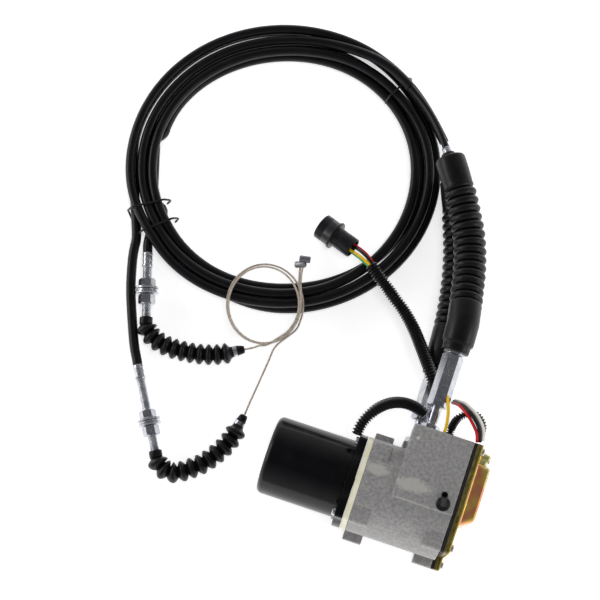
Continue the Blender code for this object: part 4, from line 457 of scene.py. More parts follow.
for number, (y, z) in enumerate(((-0.0365, -0.0335), (-0.0365, 0.0335), (0.0365, -0.0335), (0.0365, 0.0335))):
    cross_head(f"motor_screw_{number + 1}", Matrix.Translation((PLATE_START, y, z + AXIS)))


# Gasket, end plate and pressed sensor cover, which follow the housing's end.
# The gasket is matt black nitrile sheet; the plate is steel, olive along its chromated cut edge;
# the cover is drawn steel in yellow chromate, whose thin film shows gold, pink and green patches.
nitrile_gasket = surface("nitrile_gasket", "#1B1918", 0.7, 0.0, ("#151413", "#262321", 0.003), (0.0005, 0.00005, 0.6))
cut_plate_zinc = surface("zinc_plate_cut_edge", "#6A6238", 0.36, 0.6, ("#564F2C", "#8A7E46", 0.004),
                         (0.0008, 0.00004, 0.6))
# Thin chromate film: bands of gold, copper and green
yellow_zinc, tree, shader = new_material("yellow_chromate_zinc", "#D2A25C", 0.22, 0.72)
place = add(tree, "ShaderNodeTexCoord")
film = noise(tree, place, 0.024, 1.5, Roughness=0.45, Distortion=0.6)
bands = add(tree, "ShaderNodeValToRGB", {}, {"Fac": film.outputs["Fac"]})
ramp = bands.color_ramp
ramp.elements[0].position, ramp.elements[0].color = 0.30, linear("#C9C58A")
ramp.elements[1].position, ramp.elements[1].color = 0.72, linear("#B9C774")
for position, code in ((0.40, "#E0B562"), (0.48, "#DE9A62"), (0.54, "#D98C78"), (0.61, "#DDAA55")):
    stop = ramp.elements.new(position)
    stop.color = linear(code)
tree.links.new(bands.outputs["Color"], shader.inputs["Base Color"])
roughness_between(tree, shader, noise(tree, place, 0.003, 7.0).outputs["Fac"], 0.14, 0.26)
grain(tree, shader, place, 0.0030, 0.00003, 0.4)
# Thicker film on the flange: an even, duller yellow
thick_chromate = surface("thick_yellow_chromate", "#D6BE48", 0.30, 0.6, ("#CBB235", "#E4D070", 0.006),
                         (0.0010, 0.00003, 0.5))


def cover_outline(shrink=0.0):
    # Barrel, corner lugs, cable block and feet at the cover end, each side pulled in by shrink
    s = shrink
    radius = BARREL - s
    low = -AXIS + 0.0006 + s
    first = math.degrees(math.acos(BLOCK_FRONT / BARREL))
    last = 180.0 - math.degrees(math.asin((LUG - s) / radius))
    points = [(-FOOT_REACH + s, low), (FOOT_REACH - s, low), (FOOT_REACH - s, LOWER_BLOCK_BOTTOM + s),
              (LOWER_BLOCK_REAR - s, LOWER_BLOCK_BOTTOM + s), (LOWER_BLOCK_REAR - s, BLOCK_BOTTOM + s),
              (BLOCK_REAR - s, BLOCK_BOTTOM + s)]
    points += round_corner(BLOCK_REAR - CORNER, BLOCK_TOP - CORNER, CORNER - s, 0)
    points += [(BLOCK_FRONT, BLOCK_TOP - s)]
    points += arc(0.0, 0.0, radius, first, last, 8)
    points += round_corner(CORNER - LUG, LUG - CORNER, CORNER - s, 90)
    return points + [(-LUG + s, FOOT_TOP - s), (-FOOT_REACH + s, FOOT_TOP - s)]


GASKET_START = HOUSING_END + GAP
GASKET_END = HOUSING_END + 0.0033
END_PLATE_START = GASKET_END + GAP
END_PLATE_END = END_PLATE_START + 0.004
FLANGE_START = END_PLATE_END + GAP
FLANGE_END = FLANGE_START + 0.0014
gasket = shell("end_gasket_cut", stacked([(GASKET_START, cover_outline(0.0002)), (GASKET_END, cover_outline(0.0002))]),
               nitrile_gasket)
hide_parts("end_gasket")
plate = shell("end_plate_cut", stacked([
    (END_PLATE_START, cover_outline(0.0003)), (END_PLATE_START + 0.0003, cover_outline()),
    (END_PLATE_END - 0.0003, cover_outline()), (END_PLATE_END, cover_outline(0.0003))]), cut_plate_zinc)
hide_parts("end_plate")
flange = shell("cover_flange_pressed", stacked([
    (FLANGE_START, cover_outline(0.0002)), (FLANGE_START + 0.0003, cover_outline()),
    (FLANGE_END - 0.0003, cover_outline()), (FLANGE_END, cover_outline(0.0003))]), thick_chromate)
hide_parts("sensor_cover")

# The drawn cover's bend radius, and where its walls leave the flange's fillet
BEND = 0.0032
WALL_FOOT = FLANGE_END + 0.0018
for name, front, rear, bottom, top, slope, depth, corner in (
        ("cover_pocket_pressed", -0.012, 0.054, -0.026, 0.040, 0.007, 0.0155, 0.006),
        ("cover_step_pressed", 0.044, 0.0635, 0.010, 0.0355, 0.0, 0.0105, 0.006),
        ("cover_bump_pressed", 0.055, 0.0655, 0.008, 0.038, 0.0, 0.0125, 0.004)):
    # A drawn pocket with a bend radius at its foot and at its face
    face = FLANGE_START + depth
    levels = [(FLANGE_END - 0.0004, -0.0016), (FLANGE_END + 0.0002, -0.0011), (FLANGE_END + 0.0009, -0.0003),
              (WALL_FOOT, 0.0)]
    levels += [(WALL_FOOT + (face - BEND - WALL_FOOT) * i / 5, 0.0003 * i) for i in range(1, 6)]
    levels += [(face - BEND + BEND * math.sin(math.radians(a)), 0.0015 + BEND * (1 - math.cos(math.radians(a))))
               for a in (15, 30, 45, 60, 75, 90)]
    levels += [(face, 0.0085)]
    outlines = []
    for x, inset in levels:
        lean = (x - FLANGE_END) / (face - FLANGE_END)
        y0, y1 = front + slope * max(lean, 0.0) + inset, rear - inset
        z0, z1 = bottom + inset, top - inset
        radius = max(min(corner, (y1 - y0) / 2.4), 0.0005)
        outline = []
        for y, z, turn in ((y1 - radius, z1 - radius, 0), (y0 + radius, z1 - radius, 90),
                           (y0 + radius, z0 + radius, 180), (y1 - radius, z0 + radius, 270)):
            outline += round_corner(y, z, radius, turn, 8)
        outlines.append((x, outline))
    shell(name, stacked(outlines), yellow_zinc, sharp=60.0)
for number, (y, z) in enumerate(((-0.035, 0.035), (0.0635, 0.0435), (0.0635, -0.0015), (0.0479, -0.0435),
                                 (-0.0479, -0.0435))):
    cross_head(f"cover_screw_{number + 1}",
               Matrix.Translation((FLANGE_END, y, z + AXIS)) @ Matrix.Rotation(math.pi, 4, "Z"))


# Vent: a moulded rubber nipple pushed into the block, its stem leaning to the rear.
# Black synthetic rubber: matt, with a grey bloom on its edges.
black_rubber = surface("black_rubber", "#0C0C0D", 0.46, 0.0, ("#090909", "#111112", 0.006), (0.0009, 0.00005, 0.6),
                       (0.002, 7.0, 0.7, 0.26, 0.46), {"Specular IOR Level": 0.34})
VENT_X, VENT_Y, VENT_BASE = HOUSING_START + 0.0825, 0.0022, AXIS + BLOCK_TOP + 0.0003
LEAN_X, LEAN_Y = -0.0020, 0.0078
levels = [(0.0, 0.0068, 0.0), (0.0003, 0.007, 0.0), (0.0019, 0.007, 0.0), (0.0024, 0.0066, 0.0), (0.0031, 0.0054, 0.01),
          (0.0035, 0.0040, 0.03), (0.0040, 0.0034, 0.06), (0.0050, 0.00325, 0.12), (0.009, 0.0031, 0.5),
          (0.0128, 0.0031, 0.85), (0.0134, 0.00325, 0.9), (0.0146, 0.00325, 0.98), (0.0150, 0.0030, 1.0),
          (0.0150, 0.0019, 1.0), (0.0080, 0.0018, 0.5)]
vent = shell("vent_nipple", np.array([
    [(VENT_X + LEAN_X * lean + r * math.cos(a), VENT_Y + LEAN_Y * lean + r * math.sin(a), VENT_BASE + height)
     for a in np.linspace(0, math.tau, 40, endpoint=False)] for height, r, lean in levels]), black_rubber,
    sharp=50.0)
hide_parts("vent_plug")


# Outlets: turned steel stubs screwed into the block, each with a lock nut and a long
# hexagonal coupling, all bright zinc. Chamfers are cut by a cone, as on a real hexagon bar.
plated_hexagon, tree, shader = new_material("bright_zinc_hexagon_bar", "#CFD0D6", 0.2, 0.92)
place, _ = mottle(tree, shader, "#B4B7C4", "#D3D3D3", 0.010)
drawn = add(tree, "ShaderNodeMapping", {"Scale": (1.0, 0.06, 1.0)}, {"Vector": place.outputs["Object"]})
lines = add(tree, "ShaderNodeTexNoise", {"Scale": 1 / 0.0012, "Detail": 5.0}, {"Vector": drawn.outputs[0]})
roughness_between(tree, shader, lines.outputs["Fac"], 0.10, 0.30)
scratched = add(tree, "ShaderNodeBump", {"Strength": 0.35, "Distance": 0.00003}, {"Height": lines.outputs["Fac"]})
tree.links.new(scratched.outputs[0], shader.inputs["Normal"])


def hexagon_bar(name, width, start, end, chamfer, bore, place):
    # The lesser of the hexagon's and the chamfer cone's radius at each angle; open bore
    sides, steps = 96, 8
    angle = np.linspace(0.0, math.tau, sides, endpoint=False)
    flat = width / 2 / np.cos(angle % (math.pi / 3) - math.pi / 6)
    corner, tip = width / 2 / math.cos(math.pi / 6), width / 2 * 0.95
    cones = [(chamfer * i / steps, np.minimum(flat, tip + (corner - tip) * i / steps)) for i in range(steps + 1)]
    rings = [(start + s, radii) for s, radii in cones] + [(end - s, radii) for s, radii in cones[::-1]]
    rings += [(end, np.full(sides, bore)), (start, np.full(sides, bore))]
    points = np.array([[(x, r * math.cos(a), r * math.sin(a)) for r, a in zip(radii, angle)] for x, radii in rings])
    return shell(name, placed(points, place), plated_hexagon, sharp=22.0, closed=True)


def screw_thread(name, radius, start, end, pitch, place, finish):
    # A helical ridge: the cut's depth follows the angle less the turns up to this ring
    sides, depth = 32, pitch * 0.5
    steps = round((end - start) / pitch * 4)
    angle = np.linspace(0.0, math.tau, sides, endpoint=False)
    rings = []
    for i in range(steps + 1):
        x = start + (end - start) * i / steps
        cut = radius - depth * (0.5 + 0.5 * np.cos(math.tau * (x - start) / pitch - angle))
        rings.append(np.column_stack([np.full(sides, x), cut * np.cos(angle), cut * np.sin(angle)]))
    return shell(name, placed(np.array(rings), place), finish, sharp=70.0)


for name, x, z, wall in (("upper", 0.03925, AXIS + 0.0215, BLOCK_REAR),
                         ("lower", 0.02925, AXIS - 0.0215, LOWER_BLOCK_REAR)):
    # Local X runs along the outlet, towards +Y
    place = Matrix.Translation((x, 0.0, z)) @ Matrix.Rotation(math.pi / 2, 4, "Z")
    stub = shell(f"outlet_stub_{name}_turned", lathe(
        [(wall - 0.002, 0.0054), (wall + 0.0075, 0.0054), (wall + 0.008, 0.0050), (wall + 0.0092, 0.0050),
         (wall + 0.0097, 0.0055), (wall + 0.027, 0.0055), (wall + 0.030, 0.0052)], 64, place), plated_hexagon)
    hexagon_bar(f"lock_nut_{name}", 0.017, wall + GAP, wall + 0.0063, chamfer=0.0012, bore=0.005, place=place)
    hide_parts(f"outlet_stub_{name}")
    bar = hexagon_bar(f"hex_coupling_{name}_cut", 0.019, wall + 0.025, wall + 0.0802, chamfer=0.0016, bore=0.0052,
                      place=place)
    hexagon_bar(f"coupling_nut_{name}", 0.019, wall + 0.0806, wall + 0.0925, chamfer=0.0012, bore=0.0052, place=place)
    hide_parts(f"hex_coupling_{name}")


# Cables: a steel inner wire in a coiled-wire conduit with a black PVC jacket, about 7 mm,
# most of it in a thicker black sleeve. Extruded, so it has a soft lengthwise sheen.
def smooth_line(points, spacing):
    # Evenly spaced points on a smooth curve through the given ones
    p = np.array(points, float)
    p = np.vstack([2 * p[0] - p[1], p, 2 * p[-1] - p[-2]])
    t = np.linspace(0.0, 1.0, 16, endpoint=False)[:, None]
    parts = [0.5 * (2 * b + (c - a) * t + (2 * a - 5 * b + 4 * c - d) * t * t + (3 * b - a - 3 * c + d) * t ** 3)
             for a, b, c, d in zip(p, p[1:], p[2:], p[3:])]
    return spaced(np.vstack(parts + [p[-2:-1]]), spacing)


def run_of(line):
    return np.concatenate([[0.0], np.cumsum(np.linalg.norm(np.diff(line, axis=0), axis=1))])


def sample(line, run, stations):
    return np.column_stack([np.interp(stations, run, line[:, k]) for k in range(3)])


def spaced(line, spacing):
    run = run_of(line)
    return sample(line, run, np.linspace(0.0, run[-1], max(2, round(run[-1] / spacing)) + 1))


def unit(vectors):
    return vectors / np.linalg.norm(vectors, axis=-1, keepdims=True)


def sweep(line, stations, radii, sides, twist=0.0):
    # Rings of these radii at stations along a line, on normals carried without twist
    run = run_of(line)
    tangent = unit(np.gradient(line, axis=0))
    side = np.zeros_like(line)
    side[0] = unit(np.cross(tangent[0], (0.0, 0.02, 1.0)))
    for i in range(1, len(line)):
        side[i] = unit(side[i - 1] - tangent[i] * np.dot(side[i - 1], tangent[i]))
    stations = np.asarray(stations, float)
    along = unit(sample(tangent, run, stations))
    across = unit(sample(side, run, stations))
    across = unit(across - along * np.sum(across * along, axis=1, keepdims=True))
    upward = np.cross(along, across)
    radii = np.asarray(radii, float)
    if radii.ndim == 1:
        radii = np.repeat(radii[:, None], sides, axis=1)
    angle = np.linspace(0.0, math.tau, sides, endpoint=False)[None, :] + np.broadcast_to(twist, stations.shape)[:, None]
    return (sample(line, run, stations)[:, None, :] + (radii * np.cos(angle))[:, :, None] * across[:, None, :]
            + (radii * np.sin(angle))[:, :, None] * upward[:, None, :])


def mm(points):
    # Points or profiles given in millimetres
    return [tuple(value / 1000 for value in point) for point in points]


# Extruded PVC: a soft gloss, dulled in streaks by handling
black_pvc = surface("black_pvc_jacket", "#101011", 0.36, 0.0, ("#080809", "#0E0E10", 0.02), (0.0012, 0.00003, 0.5),
                    (0.004, 7.0, 0.7, 0.26, 0.42), {"Specular IOR Level": 0.35})

# The coil is an oval ring, turned on the table; radii of the sleeve and of the bare cable
COIL_TURN = math.radians(18.5)
COIL_BOTTOM = 0.0004
SLEEVE = 0.0051
CABLE = 0.0035
OUTER_CENTRE, OUTER_RADII = np.array((-0.1905, 0.2965)), np.array((0.1690, 0.1595))
INNER_CENTRE, INNER_RADII = np.array((-0.1855, 0.2970)), np.array((0.1315, 0.1220))


def oval(centre, radii, degrees):
    a = np.radians(degrees)
    x, y = radii[0] * np.cos(a), radii[1] * np.sin(a)
    return np.array((centre[0] + x * math.cos(COIL_TURN) - y * math.sin(COIL_TURN),
                     centre[1] + x * math.sin(COIL_TURN) + y * math.cos(COIL_TURN)))


def in_coil(keys):
    # Points every 4 degrees of a strand whose keys give (degrees, share of the coil's width, height)
    degrees = np.arange(keys[0][0], keys[-1][0] + 0.1, 4.0)
    table = np.array(keys)
    ease = np.interp(degrees, table[:, 0], np.arange(len(table)))
    whole = np.minimum(ease.astype(int), len(table) - 2)
    part = ease - whole
    part = part * part * (3 - 2 * part)
    share = table[whole, 1] + (table[whole + 1, 1] - table[whole, 1]) * part
    height = table[whole, 2] + (table[whole + 1, 2] - table[whole, 2]) * part
    outer = oval(OUTER_CENTRE, OUTER_RADII - SLEEVE, degrees)
    inner = oval(INNER_CENTRE, INNER_RADII + SLEEVE, degrees)
    flat = inner + (outer - inner) * share
    return np.column_stack([flat[0], flat[1], height]).tolist()


UPPER_LEAD = mm([
    (39.25, 162.8, 73.5), (39.25, 170, 73.5), (38.5, 184, 71.8), (36, 201, 67), (33, 218, 62), (29, 240, 56.7),
    (23, 262, 53.5), (16, 280, 52.3), (7, 297, 52), (-2, 313, 52), (-12, 329, 51.8), (-21.5, 343, 50.8),
    (-30, 355.5, 49.1), (-38.5, 368, 46.8), (-48, 381.5, 41.8), (-61, 398, 32.5),
])
LOWER_LEAD = mm([
    (29.25, 149.8, 30.5), (29.25, 157, 30.5), (28.8, 170, 28.8), (28, 185, 25), (26.5, 201, 21.5),
    (23, 225, 18.8), (17.5, 251, 17.6), (10.5, 275, 17.2), (1, 301, 17.2), (-8.5, 325, 17.2), (-16, 343, 17.2),
    (-23.5, 358.5, 17), (-31.5, 370.5, 15.8), (-41, 380, 13.6),
])
TAIL = mm([
    (-313.5, 180.1, 11.2), (-311.7, 168.4, 10.4), (-309, 152.5, 9.6), (-300.8, 123.8, 9), (-289.4, 95.1, 9),
    (-276.7, 66.8, 10.6), (-269.6, 54.5, 12), (-266.4, 48.6, 12.6),
])
LOWER_TAIL = mm([(-304, 199.5, 8), (-299.9, 176.5, 11.2), (-295.7, 163.6, 12.6), (-293.7, 157.6, 12.6)])
# Heights of the coil's two layers
LOW, HIGH = 0.0056, 0.0158
upper_path = UPPER_LEAD + in_coil([
    (44, 0.95, 0.0262), (66, 0.62, 0.0200), (90, 0.5, HIGH), (180, 0.62, HIGH), (225, 0.60, HIGH), (270, 0.42, HIGH),
    (360, 0.0, 0.0150), (405, 0.0, 0.0100), (450, 0.0, LOW), (540, 0.25, LOW), (585, 0.60, LOW), (630, 0.95, LOW),
    (720, 1.0, LOW), (810, 1.0, LOW), (892, 1.0, 0.0075)]) + TAIL
lower_path = LOWER_LEAD + in_coil([
    (30, 1.05, 0.0110), (48, 1.0, 0.0155), (90, 0.95, HIGH), (180, 0.98, HIGH), (270, 0.78, HIGH), (360, 0.66, HIGH),
    (405, 0.35, HIGH), (450, 0.1, HIGH), (540, 0.28, HIGH), (588, 0.35, 0.0120), (630, 0.1, LOW), (720, 0.3, LOW),
    (765, 0.42, LOW), (810, 0.5, LOW), (876, 0.58, LOW)]) + LOWER_TAIL
cables = [smooth_line(upper_path, 0.005), smooth_line(lower_path, 0.005)]


def settle(lines, radius, held):
    # Pushes strands apart where they lie in each other, and smooths them, in small equal steps
    owner = np.concatenate([np.full(len(line), k) for k, line in enumerate(lines)])
    index = np.concatenate([np.arange(len(line)) for line in lines])
    free = np.concatenate(held)
    points = np.vstack(lines)
    near, neighbours, passes, longest_step = 2 * radius, 8, 90, 0.0012
    apart = (owner[:, None] != owner[None, :]) | (np.abs(index[:, None] - index[None, :]) > neighbours)
    for _ in range(passes):
        gap = points[:, None, :] - points[None, :, :]
        distance = np.sqrt(np.sum(gap * gap, axis=2)) + 1e-9
        push = np.where(apart & (distance < near), (near - distance) / distance * 0.35, 0.0)
        move = np.sum(gap * push[:, :, None], axis=1)
        smooth = np.zeros_like(points)
        for k in range(len(lines)):
            rows = np.where(owner == k)[0]
            smooth[rows[1:-1]] = (points[rows[:-2]] + points[rows[2:]]) / 2 - points[rows[1:-1]]
        points = points + (np.clip(move, -longest_step, longest_step) + 0.25 * smooth) * free[:, None]
        points[:, 2] = np.maximum(points[:, 2], np.where(free > 0.0, COIL_BOTTOM + radius, points[:, 2]))
    return [points[owner == k] for k in range(len(lines))]


# The first 200 mm and the last 130 mm of a cable keep their route
HELD_START, HELD_END, EASE = 0.20, 0.13, 0.05
held = []
for line in cables:
    run = run_of(line)
    held.append(np.clip((run - HELD_START) / EASE, 0.0, 1.0) * np.clip((run[-1] - HELD_END - run) / EASE, 0.0, 1.0))
cables = settle(cables, SLEEVE, held)
for name, letter, line, sleeve_from, nodes in (
        ("upper", "b", cables[0], 0.30, ("cable_lead_upper", "cable_coil", "cable_tail")),
        ("lower", "a", cables[1], 0.24, ("cable_lead_lower",))):
    line = smooth_line(np.vstack([line[:-1:2], line[-1:]]), 0.002)
    length = run_of(line)[-1]
    stations = np.concatenate([np.arange(0.0, sleeve_from, 0.004), [sleeve_from, sleeve_from + 0.0001],
                               np.arange(sleeve_from + 0.002, length - 0.003, 0.003), [length]])
    radii = np.where(stations <= sleeve_from, CABLE, SLEEVE)
    cable = shell(f"cable_{name}", sweep(line, stations, radii, 20), black_pvc, sharp=50.0)
    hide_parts(*nodes)


# Ties: soft steel wire in black plastic, bent round the coil and twisted beneath it.
# The plastic is satin, with small dull marks where it was gripped.
tie_plastic = surface("tie_wire_plastic", "#0D0D0E", 0.4, 0.0, ("#0A0A0A", "#161617", 0.004), (0.0007, 0.00004, 0.6))


def hoop(degrees, top):
    # A rounded loop round the coil's section at this angle
    outer = oval(OUTER_CENTRE, OUTER_RADII, degrees)
    inner = oval(INNER_CENTRE, INNER_RADII, degrees)
    out = unit(outer - inner)
    lift = 0.0017
    section = [(inner + out * 0.002, 0.0022), (inner - out * lift, 0.0120), (inner + out * 0.004, top * 0.95),
               (inner + out * 0.009, top), (outer - out * 0.009, top), (outer - out * 0.003, top * 0.95),
               (outer + out * lift, 0.0120), (outer + out * lift, 0.0030)]
    return [(p[0], p[1], z) for p, z in section]


TIE_TOP = 0.0228
for name, points, node in (("left", hoop(197.0, TIE_TOP) + hoop(207.0, TIE_TOP)[::-1], "coil_tie_left"),
                           ("right", hoop(37.0, TIE_TOP + 0.001), "coil_tie_right")):
    line = smooth_line(points, 0.0015)
    tie = shell(f"twist_tie_{name}", sweep(line, run_of(line), np.full(len(line), 0.0011), 12), tie_plastic,
                sharp=60.0)
    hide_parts(node)


# Large bellows boots over the outlet ends: dip-moulded rubber with fourteen folds between
# plain cuffs, a mould seam along them, and a turned ferrule at the top where the cable leaves.
def fold_profile(start, folds, pitch, root, crest, steps, sharpness):
    # Rounded folds: radius against distance
    s = np.linspace(0.0, folds, folds * steps, endpoint=False)
    return list(zip(start + s * pitch, root + (crest - root) * np.abs(np.sin(math.pi * s)) ** sharpness))


FOLDS, FOLD_PITCH, FOLDS_START = 14, 0.0089, 0.0537
FOLDS_END = FOLDS_START + FOLDS * FOLD_PITCH
BOOT_TIP = FOLDS_END + 0.0414
BOOT_SIDES, SEAM_AT = 64, 22
boot_profile = mm([
    (0, 12.8), (0.3, 13.7), (1, 14.1), (6.2, 14.3), (6.8, 14), (7.4, 14.2), (8.6, 15.2), (9.6, 16), (11, 16.3),
    (30, 16.5), (50.6, 16.6), (52.2, 16.3), (53, 15.3),
]) + fold_profile(FOLDS_START, FOLDS, FOLD_PITCH, 0.0132, 0.0170, steps=14, sharpness=0.62) + [
    (FOLDS_END + s, r) for s, r in mm([
        (0, 13.3), (1, 14.6), (2.2, 15.7), (3.6, 16), (5.8, 15.6), (9, 15.7), (20, 16), (32, 16), (34, 15.8),
        (35.2, 15.2), (36, 13.8), (36.4, 11.8), (36.7, 9.2), (37.3, 8), (38.4, 7.4), (40.8, 7.2), (41.4, 6.6),
        (41.4, 4.6),
    ])]
for name, lead, bar_end, hold in (("upper", UPPER_LEAD, 0.1625, 0.009), ("lower", LOWER_LEAD, 0.1495, 0.018)):
    first = lead[0]
    line = smooth_line([(first[0], bar_end - hold, first[2])] + [p for p in lead if p[1] > bar_end + 0.003], 0.001)
    stations, radii = np.array(boot_profile).T
    rings = sweep(line, stations, radii, BOOT_SIDES)
    seam = np.exp(-((np.arange(BOOT_SIDES) - SEAM_AT) / 0.8) ** 2) * 0.00035
    middle = sample(line, run_of(line), stations)[:, None, :]
    rings = rings + unit(rings - middle) * seam[None, :, None]
    boot = shell(f"bellows_boot_{name}", rings, black_rubber, sharp=75.0)
    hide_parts(f"boot_{name}")
    stations, radii = np.array(mm([(-3, 4.5), (0.2, 4.5), (5.2, 4.6), (5.8, 4.2), (6.2, 4.6), (6.6, 4.4), (7, 3.7)])).T
    ferrule = shell(f"ferrule_{name}_turned", sweep(line, BOOT_TIP + stations, radii, 40), plated_hexagon,
                    sharp=50.0)
    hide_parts(f"ferrule_{name}")


# Cable ends: a crimped sleeve, a long threaded hub with its nuts and washers, and a small
# bellows boot with a metal band and a hard tip for the rope.
thread_zinc = surface("bright_zinc_thread", "#D0D3DA", 0.26, 0.9, ("#BCC0CB", "#E4E4E4", 0.006),
                      (0.0007, 0.00003, 0.6))
HUB_A = (Vector((-0.2957, 0.1636, 0.0126)), Vector((-0.2720, 0.0913, 0.0126)))
HUB_B = (Vector((-0.2661, 0.0480, 0.0126)), Vector((-0.2168, -0.0347, 0.0126)))
END_BOOT_A = mm([
    (-274.4, 98.3, 12.6), (-273.1, 94.3, 12.6), (-271.6, 89.8, 12.6), (-266.3, 83.8, 12.3), (-256.9, 78.9, 12),
    (-244.6, 76.4, 11.6), (-235.1, 76.1, 11.2), (-225.2, 76.8, 11.2), (-215.7, 78, 11.2), (-206.4, 79.8, 11.2),
    (-197.8, 82.3, 11.2), (-189.4, 85.5, 11.2), (-181.4, 89.6, 11.4), (-173.7, 94.6, 11.8),
    (-165.2, 99.1, 12.4), (-159.6, 102.2, 12.8),
])
END_BOOT_B = mm([
    (-219.6, -30, 12.6), (-217.4, -33.8, 12.6), (-215, -37.8, 12.6), (-209, -43.6, 12.3),
    (-198.8, -46.2, 11.8), (-190, -43.6, 11.4), (-182.2, -38.2, 11.2), (-173.8, -31.6, 11.2),
    (-166.7, -24.3, 11.2), (-160.5, -15.6, 11.2), (-155.2, -7, 11.2), (-151.1, 2.1, 11.2),
    (-148.1, 11.9, 11.4), (-146.6, 23.1, 11.8), (-144.7, 31.9, 12.4), (-143.8, 38.2, 12.8),
])
SMALL_FOLDS, HUB_NUT = 11, 0.0155
on_cable = {"a": [], "b": []}
tips = {}
for letter, (start, end), route, pitch in (("a", HUB_A, END_BOOT_A, 0.0091), ("b", HUB_B, END_BOOT_B, 0.0098)):
    place = Matrix.Translation(start) @ (end - start).to_track_quat("X", "Z").to_matrix().to_4x4()
    length = (end - start).length
    crimp = shell(f"crimp_{letter}", lathe(mm([
        (0.3, 3.6), (0.3, 5.2), (0.8, 5.6), (3, 5.6), (3.4, 5.1), (6.6, 5.1), (7, 5.6), (8.8, 5.6), (9.2, 5.1),
        (12.4, 5.1), (12.8, 5.6), (15.5, 5.6), (16, 5.2), (16, 4),
    ]), 48, place), bright_zinc, sharp=40.0)
    hub = screw_thread(f"threaded_hub_{letter}", 0.005, 0.0158, length, 0.00125, place, thread_zinc)
    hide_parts(f"cable_end_{letter}")
    x = length - 0.048
    on_cable[letter] += [crimp, hub, hexagon_bar(f"hub_nut_{letter}_1", HUB_NUT, x, x + 0.0085, 0.0014, 0.0046, place)]
    x += 0.0089
    for number, (radius, thickness) in enumerate(((0.0122, 0.0020), (0.0112, 0.0022), (0.0122, 0.0020))):
        on_cable[letter].append(shell(f"hub_washer_{letter}_{number + 1}", lathe(
            [(x, 0.0052), (x, radius - 0.0003), (x + 0.0003, radius), (x + thickness - 0.0003, radius),
             (x + thickness, radius - 0.0003), (x + thickness, 0.0052)], 64, place), bright_zinc, sharp=30.0,
            closed=True))
        x += 0.0026
    on_cable[letter].append(hexagon_bar(f"hub_nut_{letter}_2", HUB_NUT, x, x + 0.0105, 0.0014, 0.0046, place))
    line = smooth_line(route, 0.001)
    after = 0.008 + SMALL_FOLDS * pitch
    stations, radii = np.array(
        mm([(0, 5.6), (0.4, 6.6), (1.2, 6.8), (7, 6.8), (7.8, 6.4)])
        + fold_profile(0.008, SMALL_FOLDS, pitch, 0.0057, 0.0109, steps=16, sharpness=0.92)
        + [(after + s, r) for s, r in mm([(0.4, 6.2), (2, 5.6), (8.5, 5.4), (9, 5), (9, 3)])]).T
    boot = shell(f"end_bellows_{letter}", sweep(line, stations, radii, 48), black_rubber, sharp=75.0)
    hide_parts(f"end_boot_{letter}")
    shell(f"boot_band_{letter}", sweep(line, after + 0.0030 + np.array([0.0, 0.0002, 0.0042, 0.0044]),
                                       [0.0056, 0.0060, 0.0060, 0.0056], 40), bright_zinc, sharp=40.0)
    end_at = after + 0.009
    shell(f"boot_tip_{letter}", sweep(line, end_at + np.array([-0.001, 0.0, 0.0003, 0.0030, 0.0055, 0.0060, 0.0060]),
                                      [0.0044, 0.0048, 0.0050, 0.0046, 0.0038, 0.0032, 0.0014], 40), black_rubber,
          sharp=50.0)
    tips[letter] = sample(line, run_of(line), np.array([end_at + 0.0030, end_at + 0.0063])).tolist()


# Ropes: thin galvanised wire rope of twisted strands, wound in a small ring that lies
# across the coil, each with a barrel nipple cast on its end.
wire_rope = surface("galvanised_wire_rope", "#BDAE9F", 0.34, 0.2, ("#B3A494", "#DDD2C5", 0.003), (0.0004, 0.00003, 0.6))
# Duller, sand-grey zinc of the cast nipples
cast_zinc = surface("cast_zinc_nipple", "#9EA0A3", 0.32, 0.8, ("#7F8184", "#A9ABAE", 0.002), (0.0005, 0.00004, 0.7))

RING_CENTRE = np.array((-0.1615, 0.148, 0.02335))
RING_RADII = (0.0378, 0.0410)


def ring_point(degrees, grow, lift):
    a = math.radians(degrees)
    x, y = (RING_RADII[0] + grow) * math.cos(a), (RING_RADII[1] + grow) * math.sin(a)
    return (RING_CENTRE[0] + x * math.cos(COIL_TURN) - y * math.sin(COIL_TURN),
            RING_CENTRE[1] + x * math.sin(COIL_TURN) + y * math.cos(COIL_TURN), RING_CENTRE[2] + lift)


rope_ends = {
    "a": (Vector((-0.1364, 0.2063, 0.0262)), Vector((0.97, 0.16, 0.05)), tips["a"] + mm([
        (-157.7, 103.2, 14.5), (-152.7, 106.4, 17.5), (-145, 109, 22.5),
    ]) + [ring_point(a, -0.0022 + 0.0026 * (a + 66) / 456, 0.0011) for a in range(-66, 369, 15)] + mm([
        (-129.7, 173, 24.6), (-132.8, 181.5, 25), (-135.2, 192, 25.6), (-136.2, 201, 26),
    ])),
    "b": (Vector((-0.1392, 0.2000, 0.0240)), Vector((0.82, 0.20, 0.50)), tips["b"] + mm([
        (-143, 49.9, 14.5), (-140.8, 70.4, 17), (-138.5, 93, 19.8), (-136, 111, 21.6),
    ]) + [ring_point(a, 0.0030 - 0.0044 * (a + 39) / 454, -0.0010) for a in range(-39, 365, 15)] + mm([
        (-131.5, 173.5, 22.6), (-134.5, 181.5, 23), (-137.4, 191.5, 23.6),
    ])),
}
